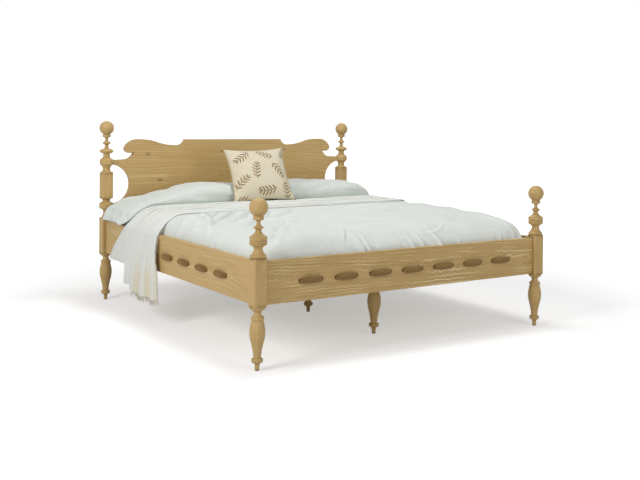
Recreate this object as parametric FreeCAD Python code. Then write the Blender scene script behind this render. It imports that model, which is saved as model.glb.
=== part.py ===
"""Super king spindle bed: four turned posts with ball finials, a scrolled headboard, flat rails with
rope lengths let into them, a slatted deck on a middle beam, and its mattress and bedding.

Millimetres. +Z up, +Y towards the headboard, +X to the right of someone looking from the foot end.
The origin is on the floor under the middle leg, at the centre of the four posts.
"""
import FreeCAD, Part
import math
import os

# ---------------------------------------------------------------- driving dimensions
# mattress and the room round it
mattress_width = 1800.0
mattress_length = 2000.0
mattress_thick = 213.0
mattress_corner = 110.0         # plan radius of a corner
mattress_top_edge = 75.0        # soft upper edge
mattress_low_edge = 40.0
side_gap = 9.0                  # room to tuck the covers at each side
foot_gap = 72.0                 # room to tuck them at the foot
seat_gap = 0.3                  # clearance of a soft piece on what carries it

# rails
rail_thick = 28.0
rail_height = 212.0
rail_bottom = 311.0
rail_ease = 2.0                 # rounding of the long edges
tenon_thick = 16.0
tenon_height = 152.0
tenon_length = 30.0

# turned posts and legs
block_size = 70.0               # square of the post blocks
turned_size = 92.0              # largest turned diameter, which rounds the blocks' corners
block_below_rail = 3.0
block_above_rail = 14.0
upper_block_height = 168.0      # second block of a head post, beside the cut-out
finial_ball = 91.5              # diameter of the ball
foot_finial_z = 696.0           # where a finial sits on its post
finial_below_panel_top = 11.0   # seat of a head finial below the headboard's top
finial_rod = 6.0
finial_rod_depth = 30.0         # into the post and into the finial
glide_size = 20.0
glide_thick = 4.0
glide_nail = 3.0
glide_nail_length = 16.0

# headboard
panel_thick = 28.0
panel_top = 1053.0
panel_bottom = 599.0
low_lug = 30.0                  # height of the lug under the cut-out
high_lug = 32.0
scroll_drop = 135.0             # from the panel's top to the top of the upper lug
cutout_radius = 130.0
cutout_reach = 154.0            # from the post's centre to the deepest point of the cut-out
lug_tenon_thick = 14.0
lug_tenon_height = 22.0
lug_tenon_depth = 24.0          # beyond the turned surface

# rope lengths let into the rails
rope_size = 24.0
rope_run = 84.0                 # straight stretch between the bends
rope_bend = 20.0
rope_proud = 9.0                # rope's centre line in front of the rail's face
rope_hole_depth = 20.0
rope_above_rail_bottom = 100.0
rope_count = 7
rope_pitch_foot = 211.5
rope_pitch_side = 226.0
rope_fit = 0.2

# deck
cleat_size = 30.0
cleat_above_rail_bottom = 43.0  # its upper face
slat_count = 14
slat_width = 70.0
slat_thick = 18.0
slat_end_gap = 4.0              # between a slat's end and the rail
slat_from_block = 10.0          # first slat's edge to the post block
beam_width = 70.0
beam_height = 48.0
leg_from_post = 339.0           # from the end posts' centres to the outer middle legs'
leg_bolt = 8.0
leg_bolt_length = 74.0
leg_bolt_in_beam = 36.0
hanger_thick = 2.5
hanger_depth = 42.0
hanger_ear = 20.0
hanger_gap = 0.3

# fittings of the side rails
hook_thick = 3.0
hook_plate_depth = 36.0
hook_plate_height = 144.0
hook_plate_above = 34.0         # above the rail's lower edge
hook_height = 20.0
hook_nose = 8.0
hook_rise = 20.0                # lower hook above the plate's lower end
hook_spacing = 76.0
slot_plate_width = 18.0
slot_plate_thick = 3.0
slot_plate_extra = 12.0         # beyond the hook plate, top and bottom
plate_screw_inset = 6.0         # from an end of the slot plate to its screw
hook_lip = 5.0                  # what drops behind the slot plate
hook_play = 0.3
hook_room = 1.0                 # clearance round a hook inside the post
hook_pin = 6.0
hook_pin_length = 22.0

# screws: shank, head, length
plate_screw = (4.0, 8.0, 26.0)
slat_screw = (4.0, 8.0, 34.0)
cleat_screw = (5.0, 10.0, 46.0)
hanger_screw = (4.0, 8.0, 18.0)

# bedding
duvet_crown = 648.0             # its top in the middle of the bed
duvet_hem = 430.0               # lower end of the tucked skirt
duvet_side_play = 0.5           # between the tucked skirt and the rail
duvet_head_gap = 51.0           # from the head rail to the duvet's edge
roll_width = 130.0              # how far from the edge the duvet starts to round down
roll_drop = 125.0
throw_thick = 5.0
throw_seat = 1.6
throw_pleats = 6
throw_fold = 6.0                # height of the folds on top of the bed
throw_hem = 125.0
short_flap_start = 615.0        # y from which the throw hangs less far
short_flap_hem = 305.0
next_flap_start = 460.0
next_flap_hem = 182.0
pillow_length = 950.0
pillow_width = 440.0
pillow_thick = 112.0
pillow_inner = 30.0             # from the bed's centre line
pillow_from_rail = 41.0         # back edge to the head rail
pillow_seat = 0.8
cushion_size = 420.0            # between its corners
cushion_height_share = 0.95
cushion_thick = 130.0
cushion_tip = -1.7              # degrees about its own face's axis
cushion_lean = 32.5             # degrees from upright
cushion_turn = -8.5             # degrees about the vertical
cushion_side = -52.0            # its middle from the bed's centre line
cushion_before_pillows = 80.0   # its lower edge in front of the pillows
cushion_sink = 1.6              # its lowest corner stands in a hollow between the throw's folds

# ---------------------------------------------------------------- derived places
post_x = mattress_width / 2 + side_gap + rail_thick / 2
post_y = (mattress_length + foot_gap + rail_thick) / 2
half_block = block_size / 2
turned_radius = turned_size / 2
rail_top = rail_bottom + rail_height
block_bottom = rail_bottom - block_below_rail
block_top = rail_top + block_above_rail
rail_in_x = post_x - rail_thick / 2      # inner face of a side rail
rail_out_x = post_x + rail_thick / 2
rail_in_y = post_y - rail_thick / 2      # inner face of the head and foot rails
rail_out_y = post_y + rail_thick / 2
block_in_x = post_x - half_block
block_in_y = post_y - half_block
cleat_top = rail_bottom + cleat_above_rail_bottom
cleat_bottom = cleat_top - cleat_size
deck_top = cleat_top + slat_thick
beam_bottom = cleat_top - beam_height
upper_lug_top = panel_top - scroll_drop
upper_lug_bottom = upper_lug_top - high_lug
lower_lug_top = panel_bottom + low_lug
cutout_z = (upper_lug_bottom + lower_lug_top) / 2
low_lug_z = panel_bottom + low_lug / 2
high_lug_z = upper_lug_top - high_lug / 2
head_finial_z = panel_top - finial_below_panel_top
leg_spacing = post_y - leg_from_post
rope_z = rail_bottom + rope_above_rail_bottom
mattress_foot = rail_in_y - seat_gap - mattress_length     # its foot end is at y = mattress_foot
mattress_head = rail_in_y - seat_gap
mattress_base = deck_top + seat_gap
mattress_top = mattress_base + mattress_thick
duvet_half = rail_in_x - duvet_side_play


# ---------------------------------------------------------------- helpers
def point(x, y, z):
    return FreeCAD.Vector(x, y, z)


def block(x0, x1, y0, y1, z0, z1):
    """A box between two corners, given in any order."""
    low = point(min(x0, x1), min(y0, y1), min(z0, z1))
    return Part.makeBox(abs(x1 - x0), abs(y1 - y0), abs(z1 - z0), low)


def rod(radius, start, direction, length):
    return Part.makeCylinder(radius, length, start, direction)


def chain(start, moves, to_point):
    """Edges of an outline. A move of 2 numbers is a line to there, of 4 an arc through the first pair,
    and a list of pairs is a smooth curve through them."""
    edges = []
    here = start
    for move in moves:
        if isinstance(move, list):
            curve = Part.BSplineCurve()
            curve.interpolate([to_point(*here)] + [to_point(*pair) for pair in move])
            edges.append(curve.toShape())
            here = move[-1]
        elif len(move) == 4:
            arc = Part.Arc(to_point(*here), to_point(*move[:2]), to_point(*move[2:]))
            edges.append(arc.toShape())
            here = move[2:]
        else:
            edges.append(Part.LineSegment(to_point(*here), to_point(*move)).toShape())
            here = move
    return edges


def turned(start_z, moves):
    """A solid of revolution about the vertical axis. Moves are (radius, height) as in chain."""
    on_axis = lambda radius, z: point(radius, 0, z)
    edges = chain((0.0, start_z), moves, on_axis)
    end_z = moves[-1][-1]
    edges.append(Part.LineSegment(point(0, 0, end_z), point(0, 0, start_z)).toShape())
    face = Part.Face(Part.Wire(edges))
    return face.revolve(point(0, 0, 0), point(0, 0, 1), 360)


def squared(shape, z0, z1):
    """Cut four flats into a turned shape between two heights."""
    reach = turned_radius + 5
    sides = []
    for sign in (-1, 1):
        sides.append(block(sign * half_block, sign * reach, -reach, reach, z0, z1))
        sides.append(block(-reach, reach, sign * half_block, sign * reach, z0, z1))
    return shape.cut(sides)


def mirrored_x(shape):
    return shape.mirror(point(0, 0, 0), point(1, 0, 0))


def mirrored_y(shape):
    return shape.mirror(point(0, 0, 0), point(0, 1, 0))


def screw(start, direction, size):
    """A countersunk screw. Start is the middle of its head's flat top; direction points to the tip."""
    shank, head, length = size
    head_depth = (head - shank) / 2
    cone = Part.makeCone(head / 2, shank / 2, head_depth, start, direction)
    tip_length = shank
    body = rod(shank / 2, start, direction, length - tip_length)
    tip_start = start + direction * (length - tip_length)
    tip = Part.makeCone(shank / 2, shank / 8, tip_length, tip_start, direction)
    return cone.fuse([body, tip]).removeSplitter()


def save(name, shapes):
    """Write one node. A list is a group of separate solids."""
    if not isinstance(shapes, list):
        shapes = [shapes]
    solids = []
    for shape in shapes:
        solids += shape.Solids
    result = solids[0] if len(solids) == 1 else Part.makeCompound(solids)
    result.exportStep("parts/%s.step" % name)
    box = result.BoundBox
    print("%-26s %2d solids  %8.1f cm3  x %.1f..%.1f  y %.1f..%.1f  z %.1f..%.1f  valid %s" % (
        name, len(solids), result.Volume / 1000, box.XMin, box.XMax, box.YMin, box.YMax,
        box.ZMin, box.ZMax, result.isValid()))


UP = point(0, 0, 1)
DOWN = point(0, 0, -1)


# ---------------------------------------------------------------- turned work
def leg_moves(top):
    """The leg under every block: peg foot, ankle bead, vase, collar, neck and cup, up to the height top."""
    return [
        (10.8, glide_thick), (12.8, 36.0),
        (22.5, 37.5, 27.5, 44.0), (28.6, 50.0, 27.5, 56.0), (24.5, 59.0, 19.0, 60.5),
        [(19.0, 66.0), (21.4, top * 0.29), (25.3, top * 0.36), (31.2, top * 0.44), (36.3, top * 0.51),
         (38.5, top * 0.59), (37.0, top * 0.665), (32.5, top - 82), (28.5, top - 66)],
        (30.5, top - 64), (32.5, top - 56, 28.0, top - 49),
        (20.5, top - 42, 18.2, top - 32), (20.5, top - 24, 28.5, top - 18),
        (36.0, top - 12, 39.0, top - 4), (44.0, top),
    ]


def drum_moves(radius, low, high, shoulder):
    """A drum with rounded shoulders."""
    return [
        (radius - 1.5, low - shoulder * 0.3, radius, low), (radius, high),
        (radius - 1.5, high + shoulder * 0.3, radius - shoulder, high + shoulder),
    ]


def ball_top(base, radius):
    """Neck, collar and ball of a finial that stands at the height base."""
    collar = base + 41
    centre = base + 86
    seat = math.sqrt(radius ** 2 - (centre - collar - 5) ** 2)
    return [
        (13.8, base), (10.4, base + 5, 9.8, base + 13), (12.0, base + 21, 20.0, base + 26),
        (25.5, base + 28, 26.6, base + 32), (26.6, collar - 3), (seat, collar + 5),
        (radius, centre, 0.0, centre + radius),
    ]


def foot_post_blank():
    """Foot post from its glide to its finial, on the Z axis."""
    drum_low = block_top + 65
    drum_high = block_top + 105
    groove = 3.0
    moves = leg_moves(block_bottom) + [
        (turned_radius, block_bottom), (turned_radius, block_top), (37.0, block_top + 1),
        (36.0, block_top + 4), (40.0, block_top + 6), (40.6, block_top + 11, 38.0, block_top + 16),
        (28.5, block_top + 26, 22.4, block_top + 39), (21.4, block_top + 47, 24.5, block_top + 55),
        (31.0, block_top + 60, 41.0, drum_low), (42.8, drum_low + 2.5),
    ]
    for height in (drum_low + 8.5, drum_low + 21):
        moves += [(42.8, height - groove), (42.8 - groove, height), (42.8, height + groove)]
    moves += [
        (42.8, drum_high), (27.0, drum_high + 10, 14.2, drum_high + 25),
        (13.4, foot_finial_z - 24), (18.0, foot_finial_z - 17, 27.0, foot_finial_z - 12.5),
        (27.5, foot_finial_z - 11),
        (19.0, foot_finial_z - 5, 13.8, foot_finial_z), (0.0, foot_finial_z),
    ]
    return squared(turned(glide_thick, moves), block_bottom, block_top)


def head_post_blank():
    """Head post: a drum at each lug of the headboard and a second block between them."""
    low_drum = (low_lug_z - 11, low_lug_z + 18)
    high_drum = (high_lug_z - 10, high_lug_z + 16)
    second_bottom = low_drum[1] + 36
    second_top = second_bottom + upper_block_height
    disc = head_finial_z - 65
    moves = leg_moves(block_bottom) + [
        (turned_radius, block_bottom), (turned_radius, block_top), (44.0, block_top + 1),
        (33.0, block_top + 3, 29.0, block_top + 8),
        [(23.5, block_top + 20), (19.5, block_top + 38), (24.0, low_drum[0] - 12),
         (36.0, low_drum[0] - 5)],
    ]
    moves += drum_moves(44.5, low_drum[0], low_drum[1], 8.0)
    moves += [
        [(26.0, low_drum[1] + 13), (23.0, low_drum[1] + 19), (27.0, second_bottom - 9),
         (38.0, second_bottom - 3)],
        (turned_radius, second_bottom + 1), (turned_radius, second_top - 1),
        (38.0, second_top + 3),
        [(29.0, second_top + 8), (24.0, second_top + 22), (28.0, high_drum[0] - 17),
         (35.5, high_drum[0] - 9)],
    ]
    moves += drum_moves(43.5, high_drum[0], high_drum[1], 8.0)
    moves += [
        (27.0, high_drum[1] + 14, 23.0, high_drum[1] + 20), (21.0, disc - 26, 23.5, disc - 15),
        (37.0, disc - 11, 44.5, disc), (38.0, disc + 9, 25.0, disc + 14),
        (15.0, disc + 20, 12.0, disc + 31), (12.0, disc + 38, 14.0, head_finial_z - 22),
        (20.0, head_finial_z - 18, 28.5, head_finial_z - 12),
        (20.0, head_finial_z - 5, 13.8, head_finial_z), (0.0, head_finial_z),
    ]
    blank = squared(turned(glide_thick, moves), block_bottom, block_top)
    return squared(blank, second_bottom + 1, second_top - 1)


def finial(base):
    return turned(base, ball_top(base, finial_ball / 2))


def glide():
    disc = rod(glide_size / 2, point(0, 0, 0), UP, glide_thick)
    return disc.fuse(rod(glide_nail / 2, point(0, 0, glide_thick), UP, glide_nail_length)).removeSplitter()


def glide_hole():
    return rod(glide_nail / 2, point(0, 0, glide_thick), UP, glide_nail_length)


# ---------------------------------------------------------------- headboard
def headboard_outline():
    """Half of the board's edge, from the middle of the top to the middle of the bottom. The scroll is
    set out from the post's centre: (distance from the post, drop from the top)."""
    place = lambda from_post, drop: point(post_x - from_post, post_y - panel_thick / 2, panel_top - drop)
    lug_drop = panel_top - upper_lug_top
    cut_centre = cutout_reach - cutout_radius
    cut_half = (upper_lug_bottom - lower_lug_top) / 2
    cut_meets = cut_centre + math.sqrt(cutout_radius ** 2 - cut_half ** 2)
    end = turned_radius - 8
    moves = [
        (545.0, 0.0), (522.0, 30.0, 472.0, 39.0), (402.0, 32.5, 345.0, 17.0),
        (285.0, 2.5, 222.0, -1.0), (145.0, 20.0, 117.0, 56.0),
        (127.0, 81.0, 157.0, 90.0), (173.0, 87.0, 182.0, 78.0),
        (163.0, 112.0, 112.0, lug_drop - 2.5), (end, lug_drop),
        (end, panel_top - upper_lug_bottom), (cut_meets, panel_top - upper_lug_bottom),
        (cutout_reach, panel_top - cutout_z, cut_meets, panel_top - lower_lug_top),
        (end, panel_top - lower_lug_top), (end, panel_top - panel_bottom),
        (post_x, panel_top - panel_bottom),
    ]
    return chain((post_x, 0.0), moves, place)


def headboard_panel(post_pair):
    edges = headboard_outline()
    middle = Part.LineSegment(point(0, post_y - panel_thick / 2, panel_bottom),
                              point(0, post_y - panel_thick / 2, panel_top)).toShape()
    half = Part.Face(Part.Wire(edges + [middle])).extrude(point(0, panel_thick, 0))
    board = half.fuse(mirrored_x(half)).removeSplitter()
    board = board.cut(post_pair)
    return board.fuse(lug_tenons()).removeSplitter()


def lug_tenons():
    """Four tenons, two at each post, that reach into the drums."""
    tenons = []
    start = post_x - turned_radius - 2
    end = post_x - turned_radius + lug_tenon_depth
    for height in (low_lug_z, high_lug_z):
        tenon = block(start, end, post_y - lug_tenon_thick / 2, post_y + lug_tenon_thick / 2,
                      height - lug_tenon_height / 2, height + lug_tenon_height / 2)
        tenons += [tenon, mirrored_x(tenon)]
    return tenons


# ---------------------------------------------------------------- rails and ropes
def eased(shape, axis):
    """Round the long edges that run along one axis."""
    edges = [edge for edge in shape.Edges if abs(edge.tangentAt(edge.FirstParameter).dot(axis)) > 0.999]
    return shape.makeFillet(rail_ease, edges)


def rope_length(radius, centre, along, outward):
    """One length of rope: a straight run in front of the rail with both ends bent into it."""
    half_run = rope_run / 2
    deep = rope_proud - rope_bend
    pivot = {}
    edges = []
    corner = {}
    for side in (-1, 1):
        pivot[side] = centre + along * (side * half_run) + outward * deep
        corner[side] = (pivot[side] + outward * rope_bend,
                        pivot[side] + (along * side + outward) * (rope_bend / math.sqrt(2)),
                        pivot[side] + along * (side * rope_bend))
    end_left = corner[-1][2] - outward * (rope_hole_depth + deep)
    end_right = corner[1][2] - outward * (rope_hole_depth + deep)
    edges.append(Part.LineSegment(end_left, corner[-1][2]).toShape())
    edges.append(Part.Arc(corner[-1][2], corner[-1][1], corner[-1][0]).toShape())
    edges.append(Part.LineSegment(corner[-1][0], corner[1][0]).toShape())
    edges.append(Part.Arc(corner[1][0], corner[1][1], corner[1][2]).toShape())
    edges.append(Part.LineSegment(corner[1][2], end_right).toShape())
    path = Part.Wire(edges)
    section = Part.Wire([Part.Circle(end_left, outward, radius).toShape()])
    return path.makePipeShell([section], True, False)


def rope_row(radius, face_centre, along, outward, pitch):
    lengths = []
    for index in range(rope_count):
        offset = (index - (rope_count - 1) / 2) * pitch
        lengths.append(rope_length(radius, face_centre + along * offset, along, outward))
    return lengths


def foot_ropes(radius):
    return rope_row(radius, point(0, -rail_out_y, rope_z), point(1, 0, 0), point(0, -1, 0), rope_pitch_foot)


def side_ropes(radius):
    return rope_row(radius, point(rail_out_x, 0, rope_z), point(0, 1, 0), point(1, 0, 0), rope_pitch_side)


def end_tenons():
    """Both tenons of the head rail, which fit the mortises in the blocks."""
    middle = (rail_bottom + rail_top) / 2
    tenon = block(block_in_x, block_in_x + tenon_length, post_y - tenon_thick / 2,
                  post_y + tenon_thick / 2, middle - tenon_height / 2, middle + tenon_height / 2)
    return [tenon, mirrored_x(tenon)]


def end_rail():
    """Head rail. The foot rail is its mirror image."""
    board = block(-block_in_x, block_in_x, rail_in_y, rail_out_y, rail_bottom, rail_top)
    board = eased(board, point(1, 0, 0))
    return board.fuse(end_tenons()).removeSplitter()


def side_rail():
    """Right side rail, before the seats of its fittings are cut."""
    board = block(rail_in_x, rail_out_x, -block_in_y, block_in_y, rail_bottom, rail_top)
    return eased(board, point(0, 1, 0))


# ---------------------------------------------------------------- side rail fittings
def hook_levels():
    lowest = rail_bottom + hook_plate_above + hook_rise
    return (lowest, lowest + hook_spacing)


def hook_plate():
    """Plate let into the end of the right side rail at the head, with two hooks that reach into the
    post, drop behind the slot plate and rest on its slots."""
    low = rail_bottom + hook_plate_above
    high = low + hook_plate_height
    end = block_in_y
    x0 = post_x - hook_thick / 2
    x1 = post_x + hook_thick / 2
    plate = block(x0, x1, end - hook_plate_depth, end, low, high)
    behind = end + slot_plate_thick + hook_play
    tip = behind + hook_lip
    hooks = []
    for level in hook_levels():
        hooks.append(block(x0, x1, end, tip, level, level + hook_height))
        hooks.append(block(x0, x1, behind, tip, level - hook_nose, level + hook_height))
    plate = plate.fuse(hooks).removeSplitter()
    return plate.cut(hook_pins())


def hook_pins():
    """Two pins driven through the plate from the inner face of the rail, hidden from outside."""
    pins = []
    for level in hook_levels():
        start = point(rail_in_x, block_in_y - hook_plate_depth / 2, level + hook_height / 2)
        pins.append(rod(hook_pin / 2, start, point(1, 0, 0), hook_pin_length))
    return pins


def slot_plate_ends():
    """Heights of the slot plate's lower and upper end."""
    low = rail_bottom + hook_plate_above - slot_plate_extra
    return (low, low + hook_plate_height + 2 * slot_plate_extra)


def slot_plate_blank():
    low, high = slot_plate_ends()
    return block(post_x - slot_plate_width / 2, post_x + slot_plate_width / 2,
                 block_in_y, block_in_y + slot_plate_thick, low, high)


def slot_plate():
    plate = slot_plate_blank()
    half_slot = hook_thick / 2 + hook_play
    for level in hook_levels():
        slot_top = level + hook_height + hook_nose + hook_room
        plate = plate.cut(block(post_x - half_slot, post_x + half_slot, block_in_y - 1,
                                block_in_y + slot_plate_thick + 1, level, slot_top))
    return plate.cut(slot_plate_screws())


def slot_plate_screws():
    low, high = slot_plate_ends()
    screws = []
    for height in (low + plate_screw_inset, high - plate_screw_inset):
        screws.append(screw(point(post_x, block_in_y, height), point(0, 1, 0), plate_screw))
    return screws


def slot_plate_seat():
    """What the post loses to the slot plate and to the hooks behind it."""
    seat = [slot_plate_blank()]
    depth = slot_plate_thick + hook_play + hook_lip + hook_room
    for level in hook_levels():
        seat.append(block(post_x - hook_thick, post_x + hook_thick, block_in_y, block_in_y + depth,
                          level - hook_nose - hook_room, level + hook_height + hook_nose + 2 * hook_room))
    return seat


def four_corners(shapes):
    """Copies of shapes made for the right head corner, at all four corners."""
    right = shapes + [mirrored_y(shape) for shape in shapes]
    return right + [mirrored_x(shape) for shape in right]


# ---------------------------------------------------------------- deck
def slat_places():
    last = block_in_y - slat_from_block - slat_width / 2
    pitch = 2 * last / (slat_count - 1)
    return [-last + pitch * index for index in range(slat_count)]


def slat_screws():
    """Screws down through each slat, into both cleats and the beam."""
    screws = []
    for y in slat_places():
        for x in (-(rail_in_x - cleat_size / 2), 0.0, rail_in_x - cleat_size / 2):
            screws.append(screw(point(x, y, deck_top), DOWN, slat_screw))
    return screws


def cleat_screws():
    """Screws from the middle of the bed through the right cleat into its rail, one in every other gap
    between the slats."""
    height = (cleat_bottom + cleat_top) / 2
    places = slat_places()
    screws = []
    for low, high in list(zip(places, places[1:]))[::2]:
        start = point(rail_in_x - cleat_size, (low + high) / 2, height)
        screws.append(screw(start, point(1, 0, 0), cleat_screw))
    return screws


def hanger():
    """Steel stirrup on the head rail that carries the end of the beam."""
    half = beam_width / 2 + hanger_gap
    outer = half + hanger_thick
    floor = beam_bottom - hanger_gap
    cup = block(-outer, outer, rail_in_y - hanger_depth, rail_in_y, floor - hanger_thick, cleat_top)
    cup = cup.cut(block(-half, half, rail_in_y - hanger_depth - 1, rail_in_y - hanger_thick,
                        floor, cleat_top + 1))
    ears = block(-outer - hanger_ear, outer + hanger_ear, rail_in_y - hanger_thick, rail_in_y,
                 floor - hanger_thick + 6, cleat_top)
    return cup.fuse(ears).removeSplitter().cut(hanger_screws())


def hanger_screws():
    screws = []
    across = beam_width / 2 + hanger_gap + hanger_thick + hanger_ear / 2
    for side in (-1, 1):
        for height in (beam_bottom + beam_height * 0.3, beam_bottom + beam_height * 0.75):
            start = point(side * across, rail_in_y - hanger_thick, height)
            screws.append(screw(start, point(0, 1, 0), hanger_screw))
    return screws


def centre_leg():
    """The turned leg alone, with a plain top under the beam."""
    return turned(glide_thick, leg_moves(beam_bottom) + [(0.0, beam_bottom)])


def leg_bolt_solid():
    start = beam_bottom + leg_bolt_in_beam - leg_bolt_length
    return rod(leg_bolt / 2, point(0, 0, start), UP, leg_bolt_length)


# ---------------------------------------------------------------- bedding
def mattress_shape(grow):
    """Mattress with soft edges, made larger all round by grow."""
    box = block(-mattress_width / 2 - grow, mattress_width / 2 + grow, mattress_foot - grow,
                mattress_head + grow, mattress_base - grow, mattress_top + grow)
    upright = [edge for edge in box.Edges if abs(edge.tangentAt(edge.FirstParameter).z) > 0.999]
    box = box.makeFillet(mattress_corner + grow, upright)
    top = [edge for edge in box.Edges if edge.BoundBox.ZMin > mattress_top + grow - 0.01]
    box = box.makeFillet(mattress_top_edge + grow, top)
    low = [edge for edge in box.Edges if edge.BoundBox.ZMax < mattress_base - grow + 0.01]
    return box.makeFillet(mattress_low_edge + grow, low)


def duvet_section(y, inset, crown_fall, fall):
    """Closed cross-section of the duvet's outside at one y."""
    half = duvet_half - inset
    crown = duvet_crown - crown_fall
    rim = crown - 10
    place = lambda x, z: point(x, y, z)
    moves = [
        (half, crown - fall),
        (half - 0.285 * roll_width, crown - 0.376 * fall, half - roll_width, rim),
        (0.0, crown, roll_width - half, rim),
        (0.285 * roll_width - half, crown - 0.376 * fall, -half, crown - fall),
        (-half, duvet_hem), (half, duvet_hem),
    ]
    return Part.Wire(chain((half, duvet_hem), moves, place))


def duvet():
    """Crowned cover that rounds down at both sides and more gently at the foot, where it is tucked
    between mattress and rail. Rows: distance from the foot rail, inset, fall of the crown, roll."""
    foot = -rail_in_y + 1.5
    rows = [
        (0.0, 110.0, 150.0, 55.0), (12.0, 75.0, 105.0, 80.0), (38.0, 42.0, 72.0, 98.0),
        (75.0, 14.0, 44.0, 110.0), (135.0, 2.0, 24.0, 118.0), (235.0, 0.0, 11.0, roll_drop),
        (435.0, 0.0, 5.0, roll_drop), (900.0, 0.0, 0.0, roll_drop),
    ]
    sections = [duvet_section(foot + row[0], *row[1:]) for row in rows]
    sections.append(duvet_section(rail_in_y - duvet_head_gap, 0.0, 0.0, roll_drop))
    outside = Part.makeLoft(sections, True, True)
    return outside.cut(mattress_shape(seat_gap))


def throw_section(foot_point, outward, y0, y1, wave, thick):
    """One wavy strip across the throw. Foot_point is (x, z) of the side that lies on the bed, and
    outward is the direction (x, z) in which the folds stand up."""
    place = lambda y, lift: point(foot_point[0] + outward[0] * lift, y, foot_point[1] + outward[1] * lift)
    half_waves = 2 * throw_pleats
    step = (y1 - y0) / half_waves
    moves = []
    for index in range(half_waves):
        y = y0 + index * step
        top = wave if index % 2 else 0.0
        moves.append((y + step / 2, top, y + step, wave / 2))
    back = [(y1, wave / 2 + thick)]
    for index in reversed(range(half_waves)):
        y = y0 + index * step
        top = wave if index % 2 else 0.0
        back.append((y + step / 2, top + thick, y, wave / 2 + thick))
    back.append((y0, wave / 2))
    return Part.Wire(chain((y0, wave / 2), moves + back, place))


def roll_station(side, share):
    """Point and outward direction on the duvet's rounded side edge, from 0 at its top to 1 at the
    rail, on the right (side 1) or left (side -1)."""
    half = duvet_half
    arc = Part.Arc(point(side * (half - roll_width), 0, duvet_crown - 10),
                   point(side * (half - 0.285 * roll_width), 0, duvet_crown - 0.376 * roll_drop),
                   point(side * half, 0, duvet_crown - roll_drop))
    spot = arc.value(arc.FirstParameter + (arc.LastParameter - arc.FirstParameter) * share)
    normal = (spot - arc.toShape().Curve.Center).normalize()
    place = spot + normal * throw_seat
    return (place.x, place.z), (normal.x, normal.z)


def throw():
    """Light throw across the bed at the pillows' edge. It ends in the tuck on the right, and on the
    left it passes over the rail and hangs in pleats, shorter towards the head."""
    crown_seat = duvet_crown + throw_seat
    stations = [
        roll_station(1, 0.72) + (170.0, 470.0, 5.0),
        roll_station(1, 0.54) + (160.0, 485.0, 5.0),
        roll_station(1, 0.36) + (150.0, 500.0, 6.0),
        roll_station(1, 0.18) + (140.0, 510.0, 6.0),
        roll_station(1, 0.0) + (130.0, 520.0, 6.0),
        ((650.0, crown_seat - 7.0), (0.0, 1.0), 120.0, 525.0, throw_fold),
        ((250.0, crown_seat - 0.7), (0.0, 1.0), 100.0, 532.0, throw_fold),
        ((-250.0, crown_seat - 0.7), (0.0, 1.0), 95.0, 532.0, throw_fold),
        ((-650.0, crown_seat - 7.0), (0.0, 1.0), 105.0, 530.0, 7.0),
        roll_station(-1, 0.0) + (105.0, 535.0, 8.0),
        roll_station(-1, 0.16) + (105.0, 545.0, 9.0),
        roll_station(-1, 0.32) + (100.0, 555.0, 10.0),
        ((-900.0, 592.0), (-0.66, 0.75), 95.0, 575.0, 12.0),
        ((-rail_out_x - 9.0, 548.0), (-0.92, 0.38), 85.0, 605.0, 14.0),
        ((-rail_out_x - 20.0, 505.0), (-1.0, 0.0), 78.0, 640.0, 15.0),
        ((-rail_out_x - 25.0, 410.0), (-1.0, 0.0), 70.0, 760.0, 17.0),
        ((-rail_out_x - 27.0, 300.0), (-1.0, 0.0), 72.0, 890.0, 18.0),
        ((-rail_out_x - 28.0, throw_hem), (-1.0, 0.0), 80.0, 960.0, 18.0),
    ]
    sections = [throw_section(*station, throw_thick) for station in stations]
    cloth = Part.makeLoft(sections, True, True)
    box = cloth.BoundBox
    below_short = block(box.XMin - 1, -rail_out_x, short_flap_start, box.YMax + 1, 0.0, short_flap_hem)
    below_next = block(box.XMin - 1, -rail_out_x, next_flap_start, short_flap_start + 1, 0.0, next_flap_hem)
    return cloth.cut([below_short, below_next])


def pad_section(place, half, low, thick):
    """Closed outline of a stuffed pad. Place maps (across, up) to a point."""
    seam = low + 0.38 * thick
    moves = [
        (0.94 * half, low + 0.10 * thick, 0.74 * half, low),
        (-0.74 * half, low),
        (-0.94 * half, low + 0.10 * thick, -half, seam),
        (-0.93 * half, low + 0.70 * thick, -0.68 * half, low + 0.90 * thick),
        (0.0, low + thick, 0.68 * half, low + 0.90 * thick),
        (0.93 * half, low + 0.70 * thick, half, seam),
    ]
    return Part.Wire(chain((half, seam), moves, place))


def pillow():
    """Right pillow. Its outer end hangs over the side of the bed. Rows: share of its length from the
    inner end, half width, height of its underside above the duvet's top, thickness, shift to the head."""
    back = rail_in_y - pillow_from_rail
    middle = back - pillow_width / 2
    half = pillow_width / 2
    rows = [
        (0.0, half, 30.0, 6.0, 0.0), (0.037, half - 9, 8.0, 66.0, 0.0), (0.126, half - 13, 0.0, 98.0, 0.0),
        (0.316, half - 15, 0.0, pillow_thick, 0.0), (0.632, half - 15, 0.0, pillow_thick, 0.0),
        (0.779, half - 13, 0.0, 100.0, 3.0), (0.863, half - 14, -16.0, 84.0, 10.0),
        (0.926, half - 24, -52.0, 62.0, 22.0), (0.974, half - 42, -84.0, 34.0, 34.0),
        (1.0, half - 58, -96.0, 7.0, 42.0),
    ]
    sections = []
    for share, half_width, lift, thick, shift in rows:
        x = pillow_inner + share * pillow_length
        place = lambda across, up, x=x, shift=shift: point(x, middle + shift + across, up)
        low = duvet_crown + pillow_seat + lift
        sections.append(pad_section(place, half_width, low, thick))
    return Part.makeLoft(sections, True, False)


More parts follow.
